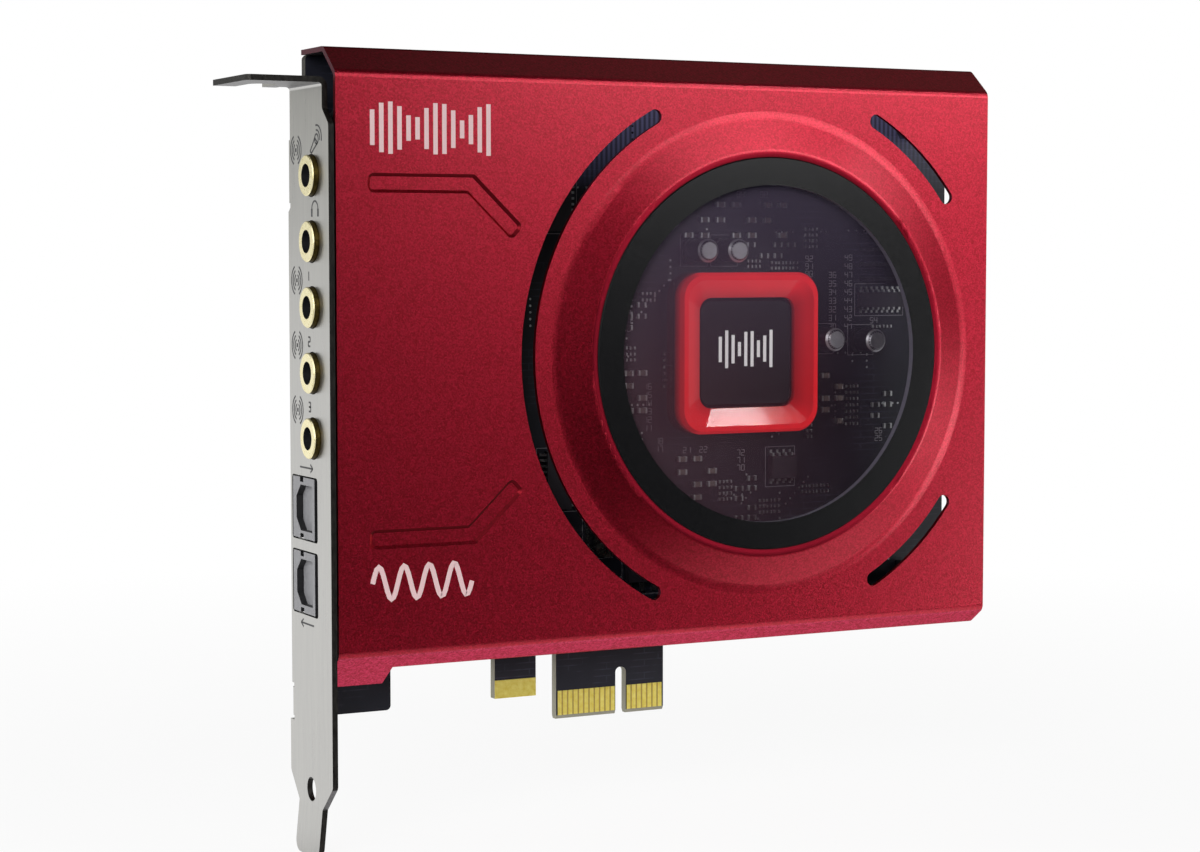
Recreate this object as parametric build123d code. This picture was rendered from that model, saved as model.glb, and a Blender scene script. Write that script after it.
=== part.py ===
from build123d import *
import os
from math import radians, sin, tan

# Sound card for a PC slot, millimetres.
# Origin: middle of the key notch, on the middle plane of the board, at the lower end of the contacts.
# +X runs along the card away from the bracket, +Y is the solder side, +Z is up.

# Board
BOARD_T = 1.57
COMP = -BOARD_T / 2
SOLDER = BOARD_T / 2
BOARD_LEFT = -55.7
BOARD_RIGHT = 65.2
BOARD_TOP = 108.4
BOARD_LOW = 11.2
FOOT_RIGHT = -41.9
FOOT_LOW = 4.0
TAB_LEFT = -23.4
TAB_RIGHT = -15.9
TAB_LOW = 4.3
PLATED_H = 3.0
BOARD_CORNER = 0.8

# Edge connector
EDGE_LEFT = -12.15
EDGE_RIGHT = 8.15
KEY_HALF = 1.0
KEY_TOP = 7.9
EDGE_BEVEL = 0.3
EDGE_BEVEL_H = 0.6
CONTACT_PITCH = 1.0
CONTACT_W = 0.7
CONTACT_H = 4.1
CONTACT_FIRST = 1.5
CONTACTS_LEFT = 11
CONTACTS_RIGHT = 7
PLATING_T = 0.05

# Bracket, one folded sheet
SHEET_T = 0.9
BRACKET_OUT = -57.9
BRACKET_IN = BRACKET_OUT + SHEET_T
BRACKET_FRONT = -16.0
NECK_FRONT = -13.4
NECK_LOW = 99.4
NECK_SHOULDER = 97.0
TAB_Z = 103.3
TAB_OUT = BRACKET_OUT - 11.9
TAB_BACK = 2.05
TAB_STEP = BRACKET_OUT - 1.6
TAB_CORNER = 1.0
BEND_OUT = 1.5
SCREW_SLOT_R = 2.21
SCREW_SLOT_X = BRACKET_OUT - 6.1
SCREW_SLOT_Y = -3.9
BACK_TOP = 0.4
BACK_MID = 1.25
BACK_LOW = 2.05
TAPER_TOP = -4.6
TAPER_LOW = -8.7
TONGUE_FRONT = -11.6
TONGUE_BACK = -1.6
TONGUE_END = TAB_Z - 120.02
TONGUE_LEAN = 5.5
TONGUE_CORNER = 2.0
TONGUE_HOLE_R = 1.9
TONGUE_HOLE_Y = -6.95
TONGUE_HOLE_Z = -6.2
EAR_BEND = 1.0
EAR_FLAT = BRACKET_OUT + 2.0
EAR_ROOT = (85.3, 95.1)
FOOT_EAR_ROOT = (4.3, 8.8)
EAR_RELIEF = 0.7
EAR_X = -49.5
EAR_Z = 98.0
FOOT_EAR_Z = 13.4
EAR_HALF = 4.2
EAR_STEP = EAR_FLAT + 1.5
EAR_SLOPE = 1.8
EAR_CORNER = 1.0

# Screws
SCREW_R = 1.45
SCREW_CLEAR = 0.15
HEAD_R = 2.5
HEAD_H = 1.5
RECESS_W = 0.7

# Jacks
JACK_Y = -8.75
JACK_FIRST_Z = 89.35
JACK_PITCH = 10.11
JACKS = 5
JACK_BORE_R = 1.8
FERRULE_R = 3.15
FERRULE_OUT = 0.95
FERRULE_IN = 5.0
FERRULE_EDGE = 0.15
JACK_HOLE_CLEAR = 0.15
JACK_W = 9.7
JACK_FACE = -13.2
JACK_REAR = -43.5
JACK_DEPTH = 13.0
JACK_STEP = 3.0
BLADE_X = 1.0
BLADE_Z = 0.4
BLADE_CLEAR = 0.1
BLADE_OUT = 1.0
BLADE_INSET = 0.9
BLADE_STEP = 2.0
BLADE_SPREAD = 2.6

# Optical sockets
OPTIC_TOP_Z = 37.75
OPTIC_PITCH = 11.7
OPTIC_CUT_FRONT = -10.4
OPTIC_CUT_BACK = 0.55
OPTIC_CUT_H = 10.1
OPTIC_FACE_FRONT = -9.1
OPTIC_FACE_BACK = 0.2
OPTIC_FACE_H = 9.6
OPTIC_FLANGE_X = BOARD_LEFT - 0.4
OPTIC_BODY_FRONT = -10.2
OPTIC_REAR = -44.0
PORT_FRONT = -8.1
PORT_BACK = -1.25
PORT_H = 7.2
PORT_CORNER = 1.9
PORT_WALL = 1.0
NOTCH_Y = -3.6
NOTCH_W = 1.4
NOTCH_D = 0.75
CAVITY_FRONT = -9.2
CAVITY_BACK = PORT_BACK + 0.05
CAVITY_H = 7.5
CAVITY_END = -48.4
FLAP_T = 0.7
FLAP_GAP = 0.05
HINGE_R = 0.35
HINGE_CLEAR = 0.05
HINGE_Y = -8.75
HINGE_IN = 0.5
FLAP_BACK = PORT_BACK - 0.2
FLAP_H = 7.3
SENSOR_W = 4.0
SENSOR_Y = -4.8
LENS_R = 1.2
LEAD_INSET = 1.6
LEAD_PITCH = 2.54

# Shroud, one folded sheet
SHROUD_T = 0.8
SHROUD_LEFT = -56.4
SHROUD_RIGHT = 64.0
FACE_Y = -15.2
FACE_TOP = 104.9
FACE_LOW = 15.4
TOP_Z = 109.05
TOP_Y = -10.2
LOW_Z = 12.75
LOW_Y = -11.6
FLANGE_END = COMP - 0.1
APRON_RIGHT = -46.1
APRON_Y = -7.4
FACE_BEND = 1.6
FLANGE_BEND = 1.6

# Round window in the shroud; the radii follow from the crest of its raised ring
WINDOW_X = 20.0
WINDOW_Z = 60.8
RING_CREST_R = 33.15
RING_SLOPE = 6.05
RING_RUN = 1.8
RING_LIP = 0.7
RING_FOOT_R = RING_CREST_R + RING_SLOPE
RING_START_R = RING_FOOT_R + RING_RUN
RING_HOLE_R = RING_CREST_R - RING_LIP
RING_CREST_H = 1.6
RING_EDGE_H = 1.3
RING_CREST_BEND = 1.8
RING_FOOT_BEND = 6.0
BEZEL_RIM = 4.6
BEZEL_IN_R = RING_HOLE_R - BEZEL_RIM
BEZEL_FRONT = 1.5
BEZEL_EDGE = 0.2
BEZEL_LIP = 1.75
BEZEL_LIP_T = 1.5
BEZEL_CLEAR = 0.05
PANE_SEAT = 1.65
PANE_R = BEZEL_IN_R + PANE_SEAT
PANE_T = 1.2
PANE_SET = 1.1
SLOT_GAP = 3.1
SLOT_R = RING_START_R + SLOT_GAP
SLOT_W = 2.4
SLOT_LONG = (119.0, 241.0)
SLOT_SHORT = (36.5, 61.5)

# Pressed grooves
GROOVE_W = 3.0
GROOVE_D = 0.45
GROOVE_SLOPE = 0.5
GROOVE_CORNER = 1.0
GROOVE_Z = 88.2
GROOVE_LEFT = -51.2
GROOVE_BEND = -33.9
GROOVE_END_X = -25.9
GROOVE_END_Z = 80.55

# Stand-offs between board and shroud
POST_X = (-36.0, 57.0)
POST_Z = (20.5, 100.0)
POST_AF = 5.0
POST_BORE = 6.0

# Main chip and light frame
CHIP_X = 22.4
CHIP_Z = 60.6
CHIP_W = 18.5
CHIP_CORNER = 2.3
CHIP_TOP = -3.9
CHIP_EDGE = 0.5
LAMP_W = 27.2
LAMP_CORNER = 4.2
LAMP_TOP = -6.0
LAMP_RIM_W = 24.6
LAMP_FLOOR = -4.5
LAMP_CLEAR = 0.1
LED_W = 2.0
LED_D = 1.25
LED_T = 0.8

# Capacitors
CAN_SMALL = ((14.0, 77.9), (19.9, 77.9), (39.3, 62.6), (47.6, 62.3))
CAN_COLUMN_X = -33.5
CAN_COLUMN_Z = (92.0, 84.0, 74.0, 64.0, 54.0, 44.0)
CAN_LONE = (48.0, 30.0)
CAN_SMALL_R = 2.0
CAN_SMALL_TOP = -6.2
CAN_LARGE_R = 3.15
CAN_LARGE_TOP = -7.0
CAN_SHOULDER = 0.6
CAN_BASE_T = 0.9
CAN_BASE_OVER = 0.15

# Flat chips with legs: length, width, height, legs a side, leg pitch
SMALL_CHIP = (4.9, 3.9, 1.6, 4, 1.27)
CODEC_CHIP = (9.1, 2.6, 1.2, 8, 1.1)
CONVERTER = (9.7, 4.4, 1.2, 10, 0.95)
WINDOW_CHIP_X = 31.2
WINDOW_CHIP_Z = 40.6
CODEC_X = 51.4
CODEC_Z = 69.3
AMP_X = -24.5
AMP_FIRST_Z = 92.0
AMP_STEP = 14.0
AMPS = 4
CONVERTER_X = -12.0
OUTPUT_Z = 86.0
INPUT_Z = 40.0
LEG_W = 0.4
LEG_T = 0.2
LEG_REACH = 1.0
LEG_DROP = 0.5
CHIP_LIFT = 0.1

# Regulators
REGULATOR_X = (4.0, 15.0)
REGULATOR_Z = 24.0
REGULATOR_L = 6.5
REGULATOR_W = 3.5
REGULATOR_H = 1.7
REGULATOR_SPAN = 7.0
REGULATOR_LEG_W = 0.7
REGULATOR_LEG_T = 0.35
REGULATOR_PITCH = 2.3
REGULATOR_TAB_W = 3.0

# Power inductor and crystal
COIL_X = 29.75
COIL_Z = 23.75
COIL_W = 6.5
COIL_H = 3.2
COIL_CORNER = 1.2
CRYSTAL_X = -4.35
CRYSTAL_Z = 32.7
CRYSTAL_W = 4.7
CRYSTAL_L = 11.4
CRYSTAL_H = 3.5
CRYSTAL_CORNER = 2.3

# Two-ended parts: length, width, height; rows are first X and Z, columns, lines, steps along X and Z
CERAMIC = (1.6, 0.85, 0.8)
RESISTOR = (1.6, 0.8, 0.45)
CERAMIC_ROWS = (
    (9.5, 80.5, 8, 3, 3.1, 2.6),
    (1.2, 49.0, 2, 5, 2.6, 2.1),
    (11.5, 36.0, 3, 4, 2.9, 2.2),
    (40.0, 48.2, 2, 5, 2.9, 2.0),
)
RESISTOR_ROWS = (
    (25.0, 77.0, 4, 2, 2.7, 1.9),
    (1.2, 65.0, 2, 4, 2.6, 1.9),
    (22.8, 32.0, 2, 5, 2.6, 1.7),
    (50.6, 47.0, 2, 4, 2.6, 1.9),
)

# Pin header for the front panel
HEADER_X = 47.8
HEADER_Z = 73.0
HEADER_PITCH = 2.54
HEADER_ROWS = 5
HEADER_BODY_X = 52.6
HEADER_BODY_T = 2.5
HEADER_BODY_H = 5.0
PIN_W = 0.64
PIN_CLEAR = 0.1
PIN_TIP = 62.0
PIN_TAIL = 1.2
PIN_LEVELS = (3.8, 1.3)

os.makedirs("parts", exist_ok=True)


def save(name, shape):
    export_step(shape, f"parts/{name}.step")


def block(x0, x1, y0, y1, z0, z1):
    return Pos((x0 + x1) / 2, (y0 + y1) / 2, (z0 + z1) / 2) * Box(abs(x1 - x0), abs(y1 - y0), abs(z1 - z0))


def rod_x(radius, x0, x1, y, z):
    return Pos((x0 + x1) / 2, y, z) * Rot(0, 90, 0) * Cylinder(radius, abs(x1 - x0))


def rod_y(radius, y0, y1, x, z):
    return Pos(x, (y0 + y1) / 2, z) * Rot(90, 0, 0) * Cylinder(radius, abs(y1 - y0))


def rod_z(radius, z0, z1, x, y):
    return Pos(x, y, (z0 + z1) / 2) * Cylinder(radius, abs(z1 - z0))


def in_xz(y):
    return lambda p: (p.X, y, p.Y)


def in_yz(x):
    return lambda p: (x, p.X, p.Y)


# Closed face from corners given as (a, b) or (a, b, corner radius)
def outline(corners, place):
    count = len(corners)
    turns = []
    for i in range(count):
        before = Vector(*corners[i - 1][:2])
        here = Vector(*corners[i][:2])
        after = Vector(*corners[(i + 1) % count][:2])
        radius = corners[i][2] if len(corners[i]) > 2 else 0
        if radius == 0:
            turns.append((here, None, here))
            continue
        u = (before - here).normalized()
        v = (after - here).normalized()
        half = radians(u.get_angle(v) / 2)
        centre = here + (u + v).normalized() * (radius / sin(half))
        middle = centre + (here - centre).normalized() * radius
        turns.append((here + u * (radius / tan(half)), middle, here + v * (radius / tan(half))))
    edges = []
    for i in range(count):
        start, middle, end = turns[i]
        if middle is not None:
            edges.append(ThreePointArc(place(start), place(middle), place(end)))
        following = turns[(i + 1) % count][0]
        if (following - end).length > 0.0001:
            edges.append(Line(place(end), place(following)))
    return make_face(edges)


def plate(corners, y0, y1):
    return extrude(outline(corners, in_xz(y0)), amount=y1 - y0, dir=(0, 1, 0))


def strip(corners, x0, x1):
    return extrude(outline(corners, in_yz(x0)), amount=x1 - x0, dir=(1, 0, 0))


# The other side of a bent sheet: the path moved sideways by its thickness
def shifted(path, thick):
    normals = []
    for a, b in zip(path, path[1:]):
        run = (Vector(*b[:2]) - Vector(*a[:2])).normalized()
        normals.append(Vector(-run.Y, run.X))
    moved = [Vector(*path[0][:2]) + normals[0] * thick]
    for i in range(1, len(path) - 1):
        joint = normals[i - 1] + normals[i]
        moved.append(Vector(*path[i][:2]) + joint * (thick / (1 + normals[i - 1].dot(normals[i]))))
    moved.append(Vector(*path[-1][:2]) + normals[-1] * thick)
    return moved


# Cross-section of a bent sheet; radii are those of the path's own side
def sheet(path, thick, inner_less):
    other = []
    for corner, point in zip(path, shifted(path, thick)):
        radius = corner[2] if len(corner) > 2 else 0
        other.append((point.X, point.Y, max(radius + inner_less, 0) if radius else 0))
    return list(path) + other[::-1]


def square(width, corner):
    return [
        (CHIP_X - width / 2, CHIP_Z - width / 2, corner),
        (CHIP_X + width / 2, CHIP_Z - width / 2, corner),
        (CHIP_X + width / 2, CHIP_Z + width / 2, corner),
        (CHIP_X - width / 2, CHIP_Z + width / 2, corner),
    ]


jack_z = [JACK_FIRST_Z - JACK_PITCH * i for i in range(JACKS)]
optic_z = [OPTIC_TOP_Z - OPTIC_PITCH * i for i in range(2)]
posts = [(x, z) for x in POST_X for z in POST_Z]
ear_screws = [(EAR_X, EAR_Z), (EAR_X, FOOT_EAR_Z)]
blade_x = JACK_REAR - BLADE_INSET
jack_blades = [(blade_x - BLADE_STEP, z + side * BLADE_SPREAD) for z in jack_z for side in (-1, 1)]
jack_blades += [(blade_x, z) for z in jack_z]
optic_blades = [(OPTIC_REAR - LEAD_INSET, z + LEAD_PITCH * i) for z in optic_z for i in (-1, 0, 1)]
blades = jack_blades + optic_blades
pin_x = [HEADER_X + HEADER_PITCH * column for column in range(len(PIN_LEVELS))]
pin_z = [HEADER_Z + HEADER_PITCH * row for row in range(HEADER_ROWS)]
pins = [(x, z) for x in pin_x for z in pin_z]

# Board with its foot, plated tab, slotted edge and holes
board_outline = [
    (BOARD_LEFT, BOARD_TOP, BOARD_CORNER),
    (BOARD_LEFT, FOOT_LOW, BOARD_CORNER),
    (FOOT_RIGHT, FOOT_LOW, BOARD_CORNER),
    (FOOT_RIGHT, BOARD_LOW),
    (TAB_LEFT, BOARD_LOW),
    (TAB_LEFT, TAB_LOW),
    (TAB_RIGHT, TAB_LOW),
    (TAB_RIGHT, BOARD_LOW),
    (EDGE_LEFT, BOARD_LOW),
    (EDGE_LEFT, 0),
    (-KEY_HALF, 0),
    (-KEY_HALF, KEY_TOP, KEY_HALF * 0.9),
    (KEY_HALF, KEY_TOP, KEY_HALF * 0.9),
    (KEY_HALF, 0),
    (EDGE_RIGHT, 0),
    (EDGE_RIGHT, BOARD_LOW),
    (BOARD_RIGHT, BOARD_LOW, BOARD_CORNER),
    (BOARD_RIGHT, BOARD_TOP, BOARD_CORNER),
]
board = plate(board_outline, COMP, SOLDER)
for side in (-1, 1):
    bevel = [
        (side * BOARD_T / 2, EDGE_BEVEL_H),
        (side * (BOARD_T / 2 - EDGE_BEVEL), 0),
        (side * BOARD_T / 2, 0),
    ]
    board -= strip(bevel, EDGE_LEFT, EDGE_RIGHT)
for x, z in posts + ear_screws:
    board -= rod_y(SCREW_R + SCREW_CLEAR, COMP, SOLDER, x, z)
for x, z in blades:
    half_x = BLADE_X / 2 + BLADE_CLEAR
    half_z = BLADE_Z / 2 + BLADE_CLEAR
    board -= block(x - half_x, x + half_x, COMP, SOLDER, z - half_z, z + half_z)
for x, z in pins:
    half = PIN_W / 2 + PIN_CLEAR
    board -= block(x - half, x + half, COMP, SOLDER, z - half, z + half)
save("board", board)

# Contacts of the edge connector, one row on each side
contact_x = [-CONTACT_FIRST - CONTACT_PITCH * i for i in range(CONTACTS_LEFT)]
contact_x += [CONTACT_FIRST + CONTACT_PITCH * i for i in range(CONTACTS_RIGHT)]
for name, y0, y1 in (("front", COMP - PLATING_T, COMP), ("back", SOLDER, SOLDER + PLATING_T)):
    row = []
    z1 = EDGE_BEVEL_H + CONTACT_H
    for x in contact_x:
        row.append(block(x - CONTACT_W / 2, x + CONTACT_W / 2, y0, y1, EDGE_BEVEL_H, z1))
    save(f"edge_contacts_{name}", Compound(row))

tab_plating = [
    block(TAB_LEFT, TAB_RIGHT, COMP - PLATING_T, COMP, TAB_LOW, TAB_LOW + PLATED_H),
    block(TAB_LEFT, TAB_RIGHT, SOLDER, SOLDER + PLATING_T, TAB_LOW, TAB_LOW + PLATED_H),
]
save("tab_plating", Compound(tab_plating))

# Bracket: face, screw tab over a bend, leaning tongue and two ears on the solder side
face_outline = [
    (BRACKET_FRONT, TAPER_TOP, 1.0),
    (BRACKET_FRONT, NECK_SHOULDER, 1.0),
    (NECK_FRONT, NECK_LOW, 1.0),
    (NECK_FRONT, NECK_LOW + 3),
    (BACK_TOP, NECK_LOW + 3),
    (BACK_TOP, EAR_ROOT[0] - EAR_RELIEF),
    (BACK_MID, EAR_ROOT[0] - 2 * EAR_RELIEF),
    (BACK_MID, FOOT_EAR_ROOT[1] + EAR_RELIEF),
    (BACK_TOP, FOOT_EAR_ROOT[1] + EAR_RELIEF),
    (BACK_TOP, FOOT_EAR_ROOT[0] - EAR_RELIEF),
    (BACK_LOW, FOOT_EAR_ROOT[0] - EAR_RELIEF),
    (BACK_LOW, TAPER_TOP, 1.0),
    (TONGUE_BACK, TAPER_LOW),
    (TONGUE_FRONT, TAPER_LOW),
]
bracket = strip(face_outline, BRACKET_OUT, BRACKET_IN)
tab_path = [(BRACKET_IN, NECK_LOW), (BRACKET_IN, TAB_Z + SHEET_T, BEND_OUT), (TAB_OUT, TAB_Z + SHEET_T)]
tab_section = sheet(tab_path, SHEET_T, -SHEET_T)
screw_tab = extrude(outline(tab_section, in_xz(NECK_FRONT)), amount=TAB_BACK - NECK_FRONT, dir=(0, 1, 0))
corner = block(TAB_OUT, TAB_OUT + TAB_CORNER, NECK_FRONT, NECK_FRONT + TAB_CORNER, TAB_Z, TAB_Z + SHEET_T)
corner -= rod_z(TAB_CORNER, TAB_Z, TAB_Z + SHEET_T, TAB_OUT + TAB_CORNER, NECK_FRONT + TAB_CORNER)
slot = rod_z(SCREW_SLOT_R, TAB_Z, TAB_Z + SHEET_T, SCREW_SLOT_X, SCREW_SLOT_Y)
slot += block(
    SCREW_SLOT_X - SCREW_SLOT_R, SCREW_SLOT_X + SCREW_SLOT_R, SCREW_SLOT_Y, TAB_BACK, TAB_Z, TAB_Z + SHEET_T
)
step = block(TAB_STEP, BRACKET_IN, BACK_TOP, TAB_BACK, NECK_LOW, TAB_Z + SHEET_T)
bracket += screw_tab - corner - slot - step
tongue_outline = [
    (TONGUE_FRONT, TAPER_LOW + SHEET_T / 2),
    (TONGUE_FRONT, TONGUE_END, TONGUE_CORNER),
    (TONGUE_BACK, TONGUE_END, TONGUE_CORNER),
    (TONGUE_BACK, TAPER_LOW + SHEET_T / 2),
]
tongue = strip(tongue_outline, BRACKET_OUT, BRACKET_IN)
bracket += Pos(BRACKET_IN, 0, TAPER_LOW) * Rot(0, TONGUE_LEAN, 0) * Pos(-BRACKET_IN, 0, -TAPER_LOW) * tongue
ear_path = [
    (EAR_FLAT, SOLDER + SHEET_T),
    (BRACKET_OUT, SOLDER + SHEET_T, EAR_BEND),
    (BRACKET_OUT, BACK_TOP - 1.0),
]
ear_section = sheet(ear_path, SHEET_T, -SHEET_T)
for z0, z1 in (EAR_ROOT, FOOT_EAR_ROOT):
    bracket += extrude(outline(ear_section, lambda p: (p.X, p.Y, z0)), amount=z1 - z0, dir=(0, 0, 1))
ear_end = EAR_X + EAR_HALF
ear_outline = [
    (EAR_FLAT, EAR_ROOT[0]),
    (EAR_STEP, EAR_ROOT[0], EAR_CORNER),
    (EAR_STEP + EAR_SLOPE, EAR_Z - EAR_HALF, EAR_CORNER),
    (ear_end, EAR_Z - EAR_HALF, EAR_CORNER),
    (ear_end, EAR_Z + EAR_HALF, EAR_CORNER),
    (EAR_X - EAR_HALF, EAR_Z + EAR_HALF, EAR_CORNER),
    (EAR_STEP, EAR_ROOT[1], EAR_CORNER),
    (EAR_FLAT, EAR_ROOT[1]),
]
foot_ear_outline = [
    (EAR_FLAT, FOOT_EAR_ROOT[0]),
    (EAR_STEP + EAR_SLOPE, FOOT_EAR_ROOT[0], EAR_CORNER),
    (ear_end, FOOT_EAR_Z - EAR_HALF, EAR_CORNER),
    (ear_end, FOOT_EAR_Z + EAR_HALF, EAR_CORNER),
    (EAR_X - EAR_HALF, FOOT_EAR_Z + EAR_HALF, EAR_CORNER),
    (EAR_STEP, FOOT_EAR_ROOT[1], EAR_CORNER),
    (EAR_FLAT, FOOT_EAR_ROOT[1]),
]
for ear in (ear_outline, foot_ear_outline):
    bracket += plate(ear, SOLDER, SOLDER + SHEET_T)
for x, z in ear_screws:
    bracket -= rod_y(SCREW_R, SOLDER, SOLDER + SHEET_T, x, z)
bracket -= rod_x(TONGUE_HOLE_R, BRACKET_OUT - 1, BRACKET_IN + 1, TONGUE_HOLE_Y, TONGUE_HOLE_Z)
for z in jack_z:
    bracket -= rod_x(FERRULE_R + JACK_HOLE_CLEAR, BRACKET_OUT, BRACKET_IN, JACK_Y, z)
for z in optic_z:
    cut = [
        (OPTIC_CUT_FRONT, z - OPTIC_CUT_H / 2, 0.6),
        (OPTIC_CUT_BACK, z - OPTIC_CUT_H / 2, 0.6),
        (OPTIC_CUT_BACK, z + OPTIC_CUT_H / 2, 0.6),
        (OPTIC_CUT_FRONT, z + OPTIC_CUT_H / 2, 0.6),
    ]
    bracket -= strip(cut, BRACKET_OUT, BRACKET_IN)
save("io_bracket", bracket)


# Pan-head screw along Y with a cross recess; way is the direction from head to tip
def screw(x, z, seat, way, length):
    top = seat - way * HEAD_H
    body = rod_y(SCREW_R, seat, seat + way * length, x, z) + rod_y(HEAD_R, top, seat, x, z)
    deep = top + way * HEAD_H * 0.6
    body -= block(x - HEAD_R * 0.55, x + HEAD_R * 0.55, top, deep, z - RECESS_W / 2, z + RECESS_W / 2)
    body -= block(x - RECESS_W / 2, x + RECESS_W / 2, top, deep, z - HEAD_R * 0.55, z + HEAD_R * 0.55)
    return body


save("bracket_screws", Compound([screw(x, z, COMP, 1, BOARD_T + SHEET_T + 0.5) for x, z in ear_screws]))
save("shroud_screws", Compound([screw(x, z, SOLDER, -1, BOARD_T + POST_BORE - 1.0) for x, z in posts]))

# Hexagonal stand-offs, each with a blind bore for its screw
standoffs = []
for x, z in posts:
    hexagon = Pos(x, COMP, z) * Rot(90, 0, 0) * RegularPolygon(POST_AF / 2, 6, major_radius=False)
    post = extrude(hexagon, amount=COMP - FACE_Y - SHROUD_T, dir=(0, -1, 0))
    standoffs.append(post - rod_y(SCREW_R, COMP, COMP - POST_BORE, x, z))
save("standoffs", Compound(standoffs))

# Jacks: plastic body on the board, ferrule through the bracket, blades soldered through the board
for i, z in enumerate(jack_z):
    low = z - JACK_W / 2
    high = z + JACK_W / 2
    body = block(BRACKET_IN, JACK_REAR, JACK_FACE, COMP, low, high)
    body -= block(JACK_REAR - JACK_STEP, JACK_REAR, JACK_FACE, JACK_FACE + JACK_STEP, low, high)
    body -= rod_x(FERRULE_R, BRACKET_IN, BRACKET_IN + FERRULE_IN, JACK_Y, z)
    body -= rod_x(JACK_BORE_R, BRACKET_IN, BRACKET_OUT + JACK_DEPTH, JACK_Y, z)
    save(f"jack_body_{i + 1}", body)
    front = BRACKET_OUT - FERRULE_OUT
    ferrule = rod_x(FERRULE_R, front, BRACKET_IN + FERRULE_IN, JACK_Y, z)
    ferrule = chamfer(ferrule.edges().filter_by(GeomType.CIRCLE).sort_by(Axis.X)[0], FERRULE_EDGE)
    ferrule -= rod_x(JACK_BORE_R, front, BRACKET_IN + FERRULE_IN, JACK_Y, z)
    save(f"jack_ferrule_{i + 1}", ferrule)


def blade(x, z):
    return block(x - BLADE_X / 2, x + BLADE_X / 2, COMP, SOLDER + BLADE_OUT, z - BLADE_Z / 2, z + BLADE_Z / 2)


save("jack_blades", Compound([blade(x, z) for x, z in jack_blades]))
save("optical_leads", Compound([blade(x, z) for x, z in optic_blades]))

# Optical sockets: body with a bevelled port, flap on a hinge behind the face, light element at the end
hinge_x = BRACKET_OUT + PORT_WALL + FLAP_GAP + FLAP_T / 2
for name, element, z in (("out", "emitter", optic_z[0]), ("in", "receiver", optic_z[1])):
    low = z - OPTIC_FACE_H / 2
    high = z + OPTIC_FACE_H / 2
    body = block(BRACKET_OUT, OPTIC_FLANGE_X, OPTIC_FACE_FRONT, OPTIC_FACE_BACK, low, high)
    body += block(BRACKET_IN + 0.05, OPTIC_REAR, OPTIC_BODY_FRONT, COMP, low, high)
    port = [
        (PORT_FRONT, z - PORT_H / 2),
        (PORT_BACK - PORT_CORNER, z - PORT_H / 2),
        (PORT_BACK, z - PORT_H / 2 + PORT_CORNER),
        (PORT_BACK, z + PORT_H / 2 - PORT_CORNER),
        (PORT_BACK - PORT_CORNER, z + PORT_H / 2),
        (PORT_FRONT, z + PORT_H / 2),
    ]
    body -= strip(port, BRACKET_OUT, BRACKET_OUT + PORT_WALL)
    for edge, inner in ((low, low + NOTCH_D), (high, high - NOTCH_D)):
        body -= block(
            BRACKET_OUT, BRACKET_OUT + NOTCH_D, NOTCH_Y - NOTCH_W / 2, NOTCH_Y + NOTCH_W / 2, edge, inner
        )
    body -= block(
        BRACKET_OUT + PORT_WALL, CAVITY_END, CAVITY_FRONT, CAVITY_BACK, z - CAVITY_H / 2, z + CAVITY_H / 2
    )
    socket_z = CAVITY_H / 2 + HINGE_IN
    body -= rod_z(HINGE_R + HINGE_CLEAR, z - socket_z, z + socket_z, hinge_x, HINGE_Y)
    sensor_y0 = SENSOR_Y - SENSOR_W / 2
    sensor_y1 = SENSOR_Y + SENSOR_W / 2
    body -= block(CAVITY_END, OPTIC_REAR, sensor_y0, sensor_y1, z - SENSOR_W / 2, z + SENSOR_W / 2)
    save(f"optical_{name}_body", body)
    pivot_z = socket_z - HINGE_CLEAR
    flap_x = hinge_x - FLAP_T / 2
    flap = rod_z(HINGE_R, z - pivot_z, z + pivot_z, hinge_x, HINGE_Y)
    flap += block(flap_x, flap_x + FLAP_T, HINGE_Y, FLAP_BACK, z - FLAP_H / 2, z + FLAP_H / 2)
    save(f"optical_{name}_shutter", flap)
    sensor = block(CAVITY_END, OPTIC_REAR, sensor_y0, sensor_y1, z - SENSOR_W / 2, z + SENSOR_W / 2)
    sensor += Pos(CAVITY_END, SENSOR_Y, z) * Sphere(LENS_R)
    save(f"optical_{element}", sensor)

# Shroud: folded section, with the apron left unbent beside the foot of the board
top_path = [(FLANGE_END, TOP_Z), (TOP_Y, TOP_Z, FLANGE_BEND), (FACE_Y, FACE_TOP, FACE_BEND)]
low_path = [(FACE_Y, FACE_LOW, FACE_BEND), (LOW_Y, LOW_Z, FLANGE_BEND), (FLANGE_END, LOW_Z)]
apron_z = FACE_LOW + (LOW_Z - FACE_LOW) * (APRON_Y - FACE_Y) / (LOW_Y - FACE_Y)
apron_path = [(FACE_Y, FACE_LOW, FACE_BEND), (APRON_Y, apron_z)]
shroud = strip(sheet(top_path + low_path, SHROUD_T, -SHROUD_T), APRON_RIGHT, SHROUD_RIGHT)
shroud += strip(sheet(top_path + apron_path, SHROUD_T, -SHROUD_T), SHROUD_LEFT, APRON_RIGHT)

# Raised ring round the window
shroud -= rod_y(RING_START_R, FACE_Y - 1, FACE_Y + SHROUD_T + 1, WINDOW_X, WINDOW_Z)
ring_path = [
    (RING_HOLE_R, -RING_EDGE_H),
    (RING_CREST_R, -RING_CREST_H, RING_CREST_BEND),
    (RING_FOOT_R, 0, RING_FOOT_BEND),
    (RING_START_R, 0),
]
ring_section = sheet(ring_path, SHROUD_T, 0)
ring_face = outline(ring_section, lambda p: (WINDOW_X + p.X, FACE_Y + p.Y, WINDOW_Z))
shroud += revolve(ring_face, Axis((WINDOW_X, 0, WINDOW_Z), (0, 1, 0)), 360)


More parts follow.
